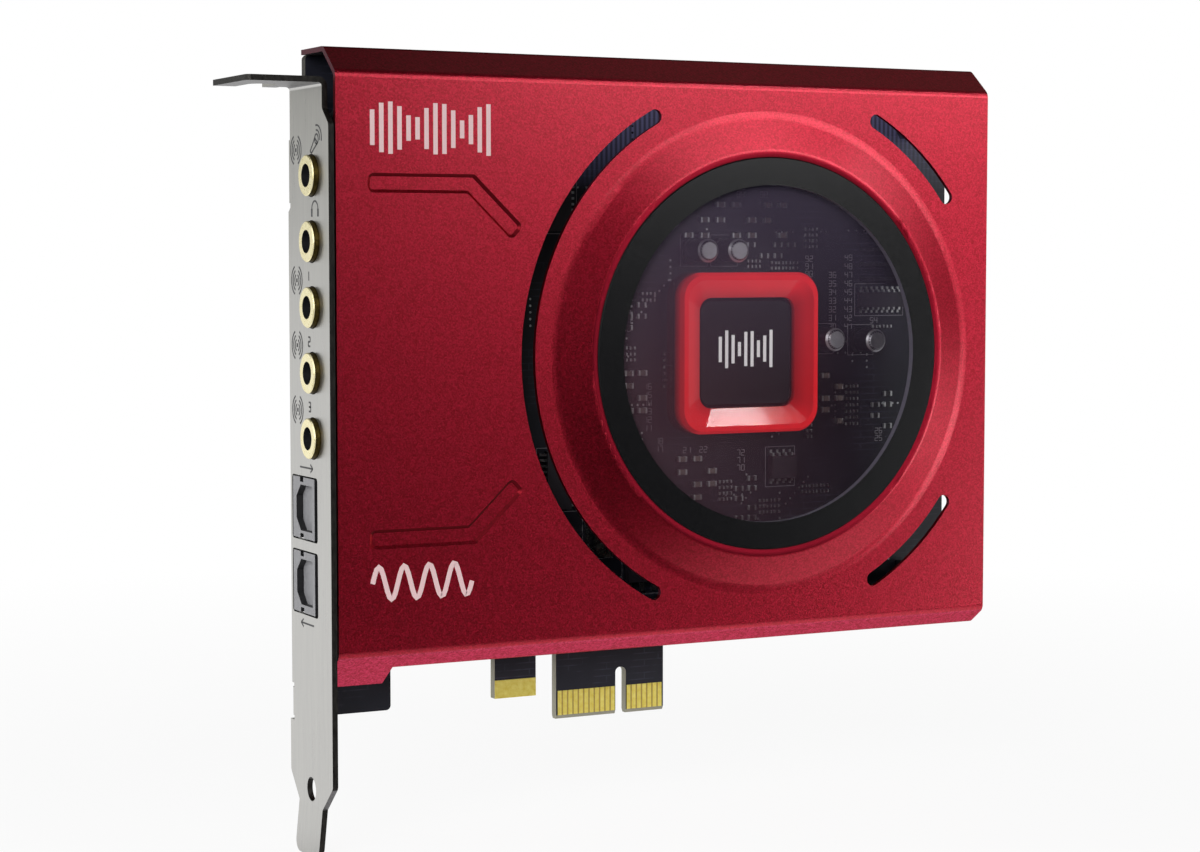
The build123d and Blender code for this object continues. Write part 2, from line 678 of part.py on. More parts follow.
# Curved slot with round ends
def arc_slot(start, end):
    middle = Plane(origin=(WINDOW_X, FACE_Y - 1, WINDOW_Z), x_dir=(1, 0, 0), z_dir=(0, -1, 0))
    flat = SlotArc(CenterArc((0, 0), SLOT_R, start, end - start), SLOT_W)
    return extrude(middle * flat, amount=SHROUD_T + 2, dir=(0, 1, 0))


shroud -= arc_slot(*SLOT_LONG)
shroud -= arc_slot(*SLOT_SHORT)
shroud -= arc_slot(-SLOT_SHORT[1], -SLOT_SHORT[0])


# Pressed groove with sloping walls from y0 down to y1; up is 1 above the window and -1 below it
def groove(up, half, y0, y1):
    path = [(GROOVE_LEFT, GROOVE_Z), (GROOVE_BEND, GROOVE_Z), (GROOVE_END_X, GROOVE_END_Z)]
    if up < 0:
        path = [(x, 2 * WINDOW_Z - z) for x, z in path[::-1]]
    rims = []
    for y, less in ((y0, 0), (y1, GROOVE_SLOPE)):
        along = [Vector(*p) for p in path]
        along[0] += (along[1] - along[0]).normalized() * less
        along[-1] += (along[-2] - along[-1]).normalized() * less
        along = [(p.X, p.Y) for p in along]
        sides = shifted(along, half - less) + shifted(along, less - half)[::-1]
        rims.append(outline([(p.X, p.Y, GROOVE_CORNER - less) for p in sides], in_xz(y)))
    return loft(rims, ruled=True)


for up in (1, -1):
    back = FACE_Y + SHROUD_T
    shroud += groove(up, GROOVE_W / 2 + GROOVE_D / 2, back, back + GROOVE_D)
    shroud -= groove(up, GROOVE_W / 2, FACE_Y, FACE_Y + GROOVE_D)
save("shroud", shroud)


# Solid turned round the window's axis from (radius, depth behind the face) corners
def turned(corners):
    section = outline(corners, lambda p: (WINDOW_X + p.X, FACE_Y + p.Y, WINDOW_Z))
    return revolve(section, Axis((WINDOW_X, 0, WINDOW_Z), (0, 1, 0)), 360)


lip = SHROUD_T - RING_EDGE_H + BEZEL_CLEAR
lip_r = RING_HOLE_R + BEZEL_LIP
bezel = turned([
    (BEZEL_IN_R, -BEZEL_FRONT),
    (RING_HOLE_R - BEZEL_EDGE, -BEZEL_FRONT),
    (RING_HOLE_R, BEZEL_EDGE - BEZEL_FRONT),
    (RING_HOLE_R, lip),
    (lip_r, lip),
    (lip_r, lip + BEZEL_LIP_T),
    (PANE_R, lip + BEZEL_LIP_T),
    (PANE_R, -BEZEL_FRONT + PANE_SET),
    (BEZEL_IN_R, -BEZEL_FRONT + PANE_SET),
])
save("window_bezel", bezel)
pane_front = FACE_Y - BEZEL_FRONT + PANE_SET
save("window_pane", rod_y(PANE_R, pane_front, pane_front + PANE_T, WINDOW_X, WINDOW_Z))

# Main chip with bevelled edges, and the dished light frame round it
chip = plate(square(CHIP_W, CHIP_CORNER), CHIP_TOP + CHIP_EDGE, COMP)
chip += loft([
    outline(square(CHIP_W, CHIP_CORNER), in_xz(CHIP_TOP + CHIP_EDGE)),
    outline(square(CHIP_W - 2 * CHIP_EDGE, CHIP_CORNER - CHIP_EDGE), in_xz(CHIP_TOP)),
], ruled=True)
save("audio_processor", chip)
lamp = plate(square(LAMP_W, LAMP_CORNER), LAMP_TOP + 0.8, COMP)
lamp += loft([
    outline(square(LAMP_W, LAMP_CORNER), in_xz(LAMP_TOP + 0.8)),
    outline(square(LAMP_W - 1.0, LAMP_CORNER - 0.5), in_xz(LAMP_TOP)),
], ruled=True)
lamp -= plate(square(CHIP_W + 2 * LAMP_CLEAR, CHIP_CORNER), LAMP_TOP, COMP)
lamp -= loft([
    outline(square(CHIP_W + 2 * LAMP_CLEAR, CHIP_CORNER), in_xz(LAMP_FLOOR)),
    outline(square(LAMP_RIM_W, LAMP_CORNER - 0.8), in_xz(LAMP_TOP)),
], ruled=True)
leds = []
led_reach = (CHIP_W + LAMP_W) / 4
for dx, dz in ((-led_reach, 0), (led_reach, 0), (0, -led_reach), (0, led_reach)):
    half_x = (LED_D if dx else LED_W) / 2
    half_z = (LED_W if dx else LED_D) / 2
    x = CHIP_X + dx
    z = CHIP_Z + dz
    leds.append(block(x - half_x, x + half_x, COMP - LED_T, COMP, z - half_z, z + half_z))
    room = 0.2
    lamp -= block(
        x - half_x - room, x + half_x + room, COMP - LED_T - room, COMP, z - half_z - room, z + half_z + room
    )
save("light_frame", lamp)
save("light_diodes", Compound(leds))

# Aluminium capacitors: can on a plastic base with two cut corners
cans = []
bases = []
large = [(CAN_COLUMN_X, z) for z in CAN_COLUMN_Z] + [CAN_LONE]
for places, radius, top in ((CAN_SMALL, CAN_SMALL_R, CAN_SMALL_TOP), (large, CAN_LARGE_R, CAN_LARGE_TOP)):
    for x, z in places:
        can = rod_y(radius, top, COMP - CAN_BASE_T, x, z)
        cans.append(chamfer(can.edges().filter_by(GeomType.CIRCLE).sort_by(Axis.Y)[0], CAN_SHOULDER))
        w = radius + CAN_BASE_OVER
        cut = radius * 0.4
        base = [
            (x - w, z - w),
            (x + w, z - w),
            (x + w, z + w - cut),
            (x + w - cut, z + w),
            (x - w + cut, z + w),
            (x - w, z + w - cut),
        ]
        bases.append(plate(base, COMP - CAN_BASE_T, COMP))
save("capacitor_cans", Compound(cans))
save("capacitor_bases", Compound(bases))


# Flat chip with legs down its two long sides; the length runs along X, or along Z when turn is 90
def small_outline(x, z, chip, turn=0):
    length, width, tall, legs, pitch = chip
    body = block(-length / 2, length / 2, COMP - tall, COMP - CHIP_LIFT, -width / 2, width / 2)
    w = LEG_W / 2
    for i in range(legs):
        a = (i - (legs - 1) / 2) * pitch
        for side in (-1, 1):
            edge = side * width / 2
            knee = side * (width / 2 + LEG_DROP)
            toe = side * (width / 2 + LEG_REACH)
            body += block(a - w, a + w, COMP - tall * 0.6, COMP, edge - side * CHIP_LIFT, knee)
            body += block(a - w, a + w, COMP - LEG_T, COMP, knee - side * LEG_T, toe)
    return Pos(x, 0, z) * Rot(0, turn, 0) * body


save("window_chip", small_outline(WINDOW_CHIP_X, WINDOW_CHIP_Z, SMALL_CHIP))
save("codec_chip", small_outline(CODEC_X, CODEC_Z, CODEC_CHIP))
amps = [small_outline(AMP_X, AMP_FIRST_Z - AMP_STEP * i, SMALL_CHIP, 90) for i in range(AMPS)]
save("line_amplifiers", Compound(amps))
save("output_converter", small_outline(CONVERTER_X, OUTPUT_Z, CONVERTER, 90))
save("input_converter", small_outline(CONVERTER_X, INPUT_Z, CONVERTER, 90))


# Regulator: body, broad tab on one side and three legs on the other
def regulator(x, z):
    half_l = REGULATOR_L / 2
    half_w = REGULATOR_W / 2
    half_tab = REGULATOR_TAB_W / 2
    half_leg = REGULATOR_LEG_W / 2
    low = COMP - REGULATOR_LEG_T
    root = half_w - REGULATOR_LEG_T
    toe = REGULATOR_SPAN / 2
    body = block(x - half_l, x + half_l, COMP - REGULATOR_H, COMP - CHIP_LIFT, z - half_w, z + half_w)
    body += block(x - half_tab, x + half_tab, low, COMP, z + root, z + toe)
    for i in (-1, 0, 1):
        a = x + i * REGULATOR_PITCH
        body += block(a - half_leg, a + half_leg, low, COMP, z - toe, z - root)
    return body


save("regulators", Compound([regulator(x, REGULATOR_Z) for x in REGULATOR_X]))


# Upright rounded block standing on the board
def can_block(x, z, wide, tall, high, corner):
    corners = [
        (x - wide / 2, z - tall / 2, corner),
        (x + wide / 2, z - tall / 2, corner),
        (x + wide / 2, z + tall / 2, corner),
        (x - wide / 2, z + tall / 2, corner),
    ]
    return plate(corners, COMP - high, COMP)


save("power_inductor", can_block(COIL_X, COIL_Z, COIL_W, COIL_W, COIL_H, COIL_CORNER))
save("crystal", can_block(CRYSTAL_X, CRYSTAL_Z, CRYSTAL_W, CRYSTAL_L, CRYSTAL_H, CRYSTAL_CORNER))

# Front-panel header: housing, and bent pins soldered through the board
half = HEADER_PITCH / 2
w = PIN_W / 2
body_end = HEADER_BODY_X + HEADER_BODY_T
housing = block(HEADER_BODY_X, body_end, COMP - HEADER_BODY_H, COMP, pin_z[0] - half, pin_z[-1] + half)
bent_pins = []
for x, level in zip(pin_x, PIN_LEVELS):
    y = COMP - level
    for z in pin_z:
        housing -= block(HEADER_BODY_X, body_end, y - w, y + w, z - w, z + w)
        pin = block(x - w, PIN_TIP, y - w, y + w, z - w, z + w)
        pin += block(x - w, x + w, y - w, SOLDER + PIN_TAIL, z - w, z + w)
        bent_pins.append(pin)
save("header_housing", housing)
save("header_pins", Compound(bent_pins))


# Two-ended parts in rows; every third place is left empty, a different third in each row
def rows(table, size):
    long, wide, tall = size
    found = []
    for k, (x0, z0, columns, lines, step_x, step_z) in enumerate(table):
        for i in range(columns):
            for j in range(lines):
                if (i * 2 + j + k) % 3 == 0:
                    continue
                x = x0 + i * step_x
                z = z0 + j * step_z
                found.append(block(x - long / 2, x + long / 2, COMP - tall, COMP, z - wide / 2, z + wide / 2))
    return Compound(found)


save("chip_capacitors", rows(CERAMIC_ROWS, CERAMIC))
save("chip_resistors", rows(RESISTOR_ROWS, RESISTOR))
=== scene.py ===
from math import cos, pi, radians, sin
from random import Random

import bmesh
import bpy
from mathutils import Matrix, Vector


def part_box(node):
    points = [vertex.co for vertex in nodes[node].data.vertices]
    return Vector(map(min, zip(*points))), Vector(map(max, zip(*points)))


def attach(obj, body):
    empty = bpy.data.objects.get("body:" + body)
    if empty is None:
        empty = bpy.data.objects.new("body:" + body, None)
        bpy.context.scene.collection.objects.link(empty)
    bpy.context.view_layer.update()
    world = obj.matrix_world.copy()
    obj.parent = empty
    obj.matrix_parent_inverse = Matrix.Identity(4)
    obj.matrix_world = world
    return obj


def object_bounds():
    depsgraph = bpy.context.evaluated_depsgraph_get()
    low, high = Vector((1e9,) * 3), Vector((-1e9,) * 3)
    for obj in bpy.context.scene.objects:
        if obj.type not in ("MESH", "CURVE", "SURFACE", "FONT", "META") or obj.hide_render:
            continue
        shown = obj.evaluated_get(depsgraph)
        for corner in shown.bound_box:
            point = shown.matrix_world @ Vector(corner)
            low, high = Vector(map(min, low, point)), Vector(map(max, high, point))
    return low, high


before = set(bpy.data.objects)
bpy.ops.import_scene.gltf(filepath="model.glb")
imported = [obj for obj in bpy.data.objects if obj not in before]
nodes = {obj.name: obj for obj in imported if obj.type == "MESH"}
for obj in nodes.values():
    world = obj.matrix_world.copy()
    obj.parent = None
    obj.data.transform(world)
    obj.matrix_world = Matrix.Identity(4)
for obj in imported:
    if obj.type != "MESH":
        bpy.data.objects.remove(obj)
box_at_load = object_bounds()

# Places are worked out in millimetres, from the solids where they show them
MM = 0.001


def box(name):
    low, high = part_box(name)
    return Vector(low) / MM, Vector(high) / MM


board_low, board_high = box("board")
shroud_low, shroud_high = box("shroud")
chip_low, chip_high = box("audio_processor")
bezel_low, bezel_high = box("window_bezel")
ferrule_boxes = [box(f"jack_ferrule_{i}") for i in range(1, 6)]
COMPONENT_SIDE = board_low.y
SOLDER_SIDE = board_high.y
CONNECTOR_TOP = 11.0
BRACKET_FACE = -57.9
BRACKET_TAB_END = -68.0
SHROUD_FACE = -15.2


# Colours are written as sRGB hex and used as linear values
def linear(code):
    parts = [int(code[i:i + 2], 16) / 255 for i in (1, 3, 5)]
    return [c / 12.92 if c <= 0.04045 else ((c + 0.055) / 1.055) ** 2.4 for c in parts] + [1.0]


# One node with its settings; an input takes a value, a hex colour, a socket, or a node for that
# node's first output
def add(tree, kind, inputs=None, **settings):
    node = tree.nodes.new(kind)
    for name, value in settings.items():
        setattr(node, name, value)
    for name, value in (inputs or {}).items():
        if isinstance(name, int):
            socket = node.inputs[name]
        else:
            socket = next(s for s in node.inputs if s.name == name and s.enabled)
        if isinstance(value, bpy.types.Node):
            value = next(s for s in value.outputs if s.enabled)
        if isinstance(value, bpy.types.NodeSocket):
            tree.links.new(value, socket)
        else:
            socket.default_value = linear(value) if socket.type == "RGBA" else value
    return node


def new_material(name):
    material = bpy.data.materials.new(name)
    material.use_nodes = True
    tree = material.node_tree
    tree.nodes.clear()
    place = add(tree, "ShaderNodeTexCoord").outputs["Object"]
    return material, tree, place


# Noise that looks like cloud, grain or fibre, by its scale
CLOUDY = {"Detail": 4.0, "Roughness": 0.6}


def finish_surface(tree, inputs):
    shader = add(tree, "ShaderNodeBsdfPrincipled", inputs)
    add(tree, "ShaderNodeOutputMaterial", {"Surface": shader})


# Plain surface whose colour and gloss wander a little; grain and bump are in millimetres, and a
# grain that is too fine to show is drawn coarser
def surface(
    name, dark, light, grain, rough, metal=0.0, bump=0.0, stretch=(1.0, 1.0, 1.0), extra=None,
):
    material, tree, place = new_material(name)
    stretched = add(tree, "ShaderNodeMapping", {"Vector": place, "Scale": stretch})
    noise = add(tree, "ShaderNodeTexNoise", {
        "Vector": stretched,
        "Scale": 1 / (grain * MM),
        **CLOUDY,
    })
    even = add(tree, "ShaderNodeMapRange", {"Value": noise, "From Min": 0.3, "From Max": 0.7})
    low, high = rough
    inputs = {
        "Base Color": add(tree, "ShaderNodeMix", {
            "Factor": even,
            "A": dark,
            "B": light,
        }, data_type="RGBA"),
        "Metallic": metal,
        "Roughness": add(tree, "ShaderNodeMapRange", {
            "Value": even,
            "To Min": low,
            "To Max": high,
        }),
    }
    if bump:
        inputs["Normal"] = add(tree, "ShaderNodeBump", {"Height": noise, "Distance": bump * MM})
    inputs.update(extra or {})
    finish_surface(tree, inputs)
    return material


# Red metallic paint: bright flakes under a satin clear coat, painted paler and pinker on the parts
# that are folded under, as a painted reflection; real flakes are finer, and are drawn a quarter of
# a millimetre apart to show
def shroud_paint():
    material, tree, place = new_material("red_metallic_paint")
    flakes = add(tree, "ShaderNodeTexVoronoi", {"Vector": place, "Scale": 1 / (0.24 * MM)})
    shade = add(tree, "ShaderNodeSeparateColor", {"Color": flakes.outputs["Color"]}).outputs
    grain = add(tree, "ShaderNodeTexNoise", {
        "Vector": place,
        "Scale": 1 / (0.3 * MM),
        "Detail": 2.0,
        "Roughness": 0.6,
    })
    normal = add(tree, "ShaderNodeNewGeometry").outputs["Normal"]
    facing = add(tree, "ShaderNodeSeparateXYZ", {"Vector": normal}).outputs
    under = add(tree, "ShaderNodeMapRange", {
        "Value": facing["Z"],
        "From Min": -0.72,
        "From Max": -0.5,
        "To Min": 1.0,
        "To Max": 0.0,
    })
    # Paler, pinker copy for the faces that turn down: painted reflection
    front, underside_painted_sheen = [add(tree, "ShaderNodeMix", {
        "Factor": shade["Red"],
        "A": dark,
        "B": light,
    }, data_type="RGBA") for dark, light in (("#a40e24", "#cc1c3a"), ("#a03448", "#dc5874"))]
    finish_surface(tree, {
        "Base Color": add(tree, "ShaderNodeMix", {
            "Factor": under,
            "A": front,
            "B": underside_painted_sheen,
        }, data_type="RGBA"),
        "Metallic": 1.0,
        "Roughness": add(tree, "ShaderNodeMapRange", {
            "Value": shade["Green"],
            "To Min": 0.32,
            "To Max": 0.4,
        }),
        "Specular Tint": "#c84878",
        "Coat Weight": add(tree, "ShaderNodeMapRange", {
            "Value": under,
            "To Min": 0.7,
            "To Max": 0.2,
        }),
        "Coat Roughness": 0.26,
        "Normal": add(tree, "ShaderNodeBump", {"Height": grain, "Distance": 0.02 * MM}),
    })
    return material


# Paint on the ring's turned lip, duller, with painted shade that darkens it towards the lower left
def lip_paint():
    material, tree, place = new_material("lip_paint")
    way = add(tree, "ShaderNodeSeparateXYZ", {"Vector": place}).outputs
    across = add(tree, "ShaderNodeMath", {0: way["X"], 1: way["Z"]}, operation="ADD")
    painted_light_share = add(tree, "ShaderNodeMapRange", {
        "Value": across,
        "From Min": 56.0 * MM,
        "From Max": 106.0 * MM,
    })
    grain = add(tree, "ShaderNodeTexNoise", {"Vector": place, "Scale": 1 / (0.3 * MM), **CLOUDY})
    dark, light = [add(tree, "ShaderNodeMix", {
        "Factor": painted_light_share,
        "A": shaded,
        "B": lit,
    }, data_type="RGBA") for shaded, lit in (("#6c0b1a", "#b4182e"), ("#8c1228", "#d42c48"))]
    finish_surface(tree, {
        "Base Color": add(tree, "ShaderNodeMix", {
            "Factor": grain,
            "A": dark,
            "B": light,
        }, data_type="RGBA"),
        "Metallic": 0.95,
        "Roughness": add(tree, "ShaderNodeMapRange", {
            "Value": grain,
            "To Min": 0.42,
            "To Max": 0.52,
        }),
        "Normal": add(tree, "ShaderNodeBump", {"Height": grain, "Distance": 0.01 * MM}),
    })
    return material


# Black solder mask with copper runs just showing through it; at the top of its front, behind the
# slots, fine upright runs show in a faint glow that stands in for the light that gets in there
def board_mask():
    material, tree, place = new_material("black_solder_mask")
    level = add(tree, "ShaderNodeMapping", {"Vector": place, "Rotation": (pi / 2, 0.0, 0.0)})
    runs = add(tree, "ShaderNodeTexBrick", {
        "Vector": level,
        "Scale": 1.0,
        "Mortar Size": 0.1 * MM,
        "Brick Width": 7.2 * MM,
        "Row Height": 1.1 * MM,
    }, offset=0.37)
    patches = add(tree, "ShaderNodeTexNoise", {"Vector": place, "Scale": 1 / (9.0 * MM), **CLOUDY})
    copper = add(tree, "ShaderNodeMapRange", {
        "Value": patches,
        "From Min": 0.48,
        "From Max": 0.62,
        "To Max": 0.35,
    })
    shown = add(tree, "ShaderNodeMath", {0: runs.outputs["Fac"], 1: copper}, operation="MULTIPLY")
    mask = add(tree, "ShaderNodeMix", {
        "Factor": patches,
        "A": "#1a1b22",
        "B": "#262731",
    }, data_type="RGBA")
    # At a scale of one the wave repeats after a tenth of pi
    upright = add(tree, "ShaderNodeTexWave", {"Vector": place, "Scale": pi / (10 * 0.9 * MM)})
    way = add(tree, "ShaderNodeSeparateXYZ", {"Vector": place}).outputs
    front = add(tree, "ShaderNodeMapRange", {
        "Value": way["Y"],
        "From Min": -0.7 * MM,
        "From Max": -0.5 * MM,
        "To Min": 1.0,
        "To Max": 0.0,
    })
    top = add(tree, "ShaderNodeMapRange", {
        "Value": way["Z"],
        "From Min": 88.0 * MM,
        "From Max": 101.0 * MM,
    })
    inner = add(tree, "ShaderNodeMapRange", {
        "Value": way["X"],
        "From Min": -32.0 * MM,
        "From Max": -20.0 * MM,
    })
    high = add(tree, "ShaderNodeMath", {0: front, 1: top}, operation="MULTIPLY")
    finish_surface(tree, {
        "Base Color": add(tree, "ShaderNodeMix", {
            "Factor": shown,
            "A": mask,
            "B": "#4e5064",
        }, data_type="RGBA"),
        "Roughness": add(tree, "ShaderNodeMapRange", {
            "Value": patches,
            "To Min": 0.3,
            "To Max": 0.42,
        }),
        "Specular IOR Level": 0.3,
        "Emission Color": add(tree, "ShaderNodeMix", {
            "Factor": upright,
            "A": "#2a2836",
            "B": "#46445e",
        }, data_type="RGBA"),
        "Emission Strength": add(tree, "ShaderNodeMath", {0: high, 1: inner}, operation="MULTIPLY"),
        "Normal": add(tree, "ShaderNodeBump", {"Height": shown, "Distance": 0.02 * MM}),
    })
    return material


# Smoked acrylic: violet haze with the board behind it, and a painted reflection that makes it
# rosier at the left, darker at the right and paler towards the top
def smoked_pane():
    material, tree, place = new_material("smoked_acrylic")
    way = add(tree, "ShaderNodeSeparateXYZ", {"Vector": place}).outputs
    side = add(tree, "ShaderNodeMapRange", {
        "Value": way["X"],
        "From Min": -4.0 * MM,
        "From Max": 46.0 * MM,
    })
    # Paler towards the top: painted reflection of what is overhead
    height = add(tree, "ShaderNodeMapRange", {
        "Value": way["Z"],
        "From Min": 55.0 * MM,
        "From Max": 92.0 * MM,
    })
    cloud = add(tree, "ShaderNodeTexNoise", {"Vector": place, "Scale": 1 / (12.0 * MM), **CLOUDY})
    haze_and_painted_reflection = add(tree, "ShaderNodeMix", {
        "Factor": side,
        "A": "#644854",
        "B": "#241f2a",
    }, data_type="RGBA")
    finish_surface(tree, {
        "Base Color": add(tree, "ShaderNodeMix", {
            "Factor": height,
            "A": haze_and_painted_reflection,
            "B": "#6c627a",
        }, data_type="RGBA"),
        "Roughness": add(tree, "ShaderNodeMapRange", {
            "Value": cloud,
            "To Min": 0.04,
            "To Max": 0.08,
        }),
        "Alpha": add(tree, "ShaderNodeMapRange", {"Value": side, "To Min": 0.26, "To Max": 0.18}),
    })
    return material


# Glossy red moulding, lit from inside by four small lamps; its sides sink into painted shade near
# the board, and its glow is turned down, as painted shade, on faces that turn to the left
def lamp_red():
    material, tree, place = new_material("glossy_red_moulding")
    cloud = add(tree, "ShaderNodeTexNoise", {"Vector": place, "Scale": 1 / (5.0 * MM), **CLOUDY})
    way = add(tree, "ShaderNodeSeparateXYZ", {"Vector": place}).outputs
    shade = add(tree, "ShaderNodeMapRange", {
        "Value": way["Y"],
        "From Min": -5.4 * MM,
        "From Max": -3.2 * MM,
    })
    red = add(tree, "ShaderNodeMix", {
        "Factor": cloud,
        "A": "#c0161c",
        "B": "#d22026",
    }, data_type="RGBA")
    colour = add(tree, "ShaderNodeMix", {
        "Factor": shade,
        "A": red,
        "B": "#2a0406",
    }, data_type="RGBA")
    normal = add(tree, "ShaderNodeNewGeometry").outputs["Normal"]
    facing = add(tree, "ShaderNodeSeparateXYZ", {"Vector": normal}).outputs
    finish_surface(tree, {
        "Base Color": colour,
        "Roughness": add(tree, "ShaderNodeMapRange", {
            "Value": cloud,
            "To Min": 0.08,
            "To Max": 0.12,
        }),
        "Specular IOR Level": 0.3,
        "Coat Weight": 0.4,
        "Emission Color": colour,
        # Glow turned down on faces that turn to the left: painted shade
        "Emission Strength": add(tree, "ShaderNodeMapRange", {
            "Value": facing["X"],
            "From Min": -0.4,
            "From Max": -0.1,
            "To Min": 0.4,
        }),
    })
    return material


def all_of(stem, count):
    return [f"{stem}_{i}" for i in range(1, count + 1)]


# Tinned blades, leads, legs and solder
tin = surface("tinned_copper", "#b8b9bb", "#d0d1d3", grain=0.4, rough=(0.28, 0.4), metal=1.0)
# Moulded chip packages, slightly sparkling with filler
chip_moulding = surface(
    "chip_moulding", "#221d24", "#2f2932", grain=0.25, rough=(0.42, 0.55), bump=0.004,
)
# Dark primer on the inside of the shroud
primer = surface("dark_primer", "#150608", "#1d090c", grain=0.5, rough=(0.5, 0.6))
# Cut edge of the painted sheet, dull and dark
paint_edge = surface(
    "paint_edge", "#3a0f1c", "#561a2a", grain=0.35, rough=(0.5, 0.65), metal=0.3, bump=0.02,
)
# Paint in the pressed grooves, darkened as painted shade where they turn away from the light
groove_painted_shade = surface(
    "groove_painted_shade", "#5a0812", "#780c1a", grain=0.3, rough=(0.4, 0.5), metal=0.9, bump=0.01,
)
# Cut edge of glass-fibre laminate: pale where the connector is ground down, and stained dark by the
# mask elsewhere, with its layers showing as fine lines along the edge
LAYERS = (1.0, 8.0, 1.0)
laminate = surface(
    "glass_fibre_edge", "#8c8b7c", "#a2a190",
    grain=0.3, rough=(0.5, 0.65), bump=0.01, stretch=LAYERS,
)
stained_laminate = surface(
    "stained_fibre_edge", "#24231f", "#35332b",
    grain=0.3, rough=(0.5, 0.65), bump=0.01, stretch=LAYERS,
)
# Pale screen-printing ink on the shroud
pale_ink = surface("pale_ink", "#e4c0c2", "#eecccd", grain=0.2, rough=(0.5, 0.65))
# Print on the main chip, with a faint glow as painted light from the frame round it
chip_ink_and_painted_glow = surface(
    "chip_ink_and_painted_glow", "#f4f3f6", "#fefefe", grain=0.2, rough=(0.5, 0.65),
    extra={"Emission Color": "#ffffff", "Emission Strength": 0.4},
)
# Dull white ink on the board and grey ink on the bracket
board_ink = surface("board_ink", "#8c8890", "#a09ca4", grain=0.2, rough=(0.5, 0.65))
grey_ink = surface("grey_ink", "#38383a", "#48484a", grain=0.2, rough=(0.5, 0.65))
# Sheared edges of the bracket, dark and dull, dragged along by the blade; the same dark steel lies
# on its forward-facing rounded corners as painted shade
sheared_and_painted_shade = surface(
    "cut_steel_and_painted_shade", "#1c1b1a", "#34322f",
    grain=0.5, rough=(0.4, 0.55), metal=0.8, bump=0.02, stretch=(1.0, 1.0, 0.3),
)
# Nickel on the tab, less polished than the face
dull_nickel = surface(
    "dull_nickel", "#6c6b6c", "#858485", grain=0.6, rough=(0.4, 0.5), metal=1.0, bump=0.004,
)
# Darker gold on the side of the jacks' rings, as painted shade
ring_side_painted_shade = surface("gold_side_painted_shade", "#3c3214", "#5a4c20", grain=0.5, rough=(0.45, 0.55), metal=0.9)
# Sides of the aluminium cans, duller than their tops
can_side = surface("aluminium_side", "#4a484e", "#5a585e", grain=0.5, rough=(0.35, 0.45), metal=0.9)
# Bare laminate between the contacts, where the mask stops
bare_laminate = surface("bare_laminate", "#a08c40", "#b49e50", grain=0.4, rough=(0.45, 0.6))
# Outer corner of the window's frame, duller than its front
frame_corner = surface(
    "black_moulding_corner", "#08080a", "#0c0c0f", grain=0.35, rough=(0.5, 0.6),
    extra={"Specular IOR Level": 0.12},
)
# Inner wall of the window's frame, painted grey as a painted highlight along the pane's edge
frame_wall_painted_highlight = surface("moulding_wall_painted_highlight", "#4c4c58", "#5e5e6a", grain=0.35, rough=(0.3, 0.4))
# Moulded nylon with a fine spark-eroded grain
nylon = surface("black_nylon", "#141416", "#1e1e20", grain=0.4, rough=(0.42, 0.55), bump=0.01)

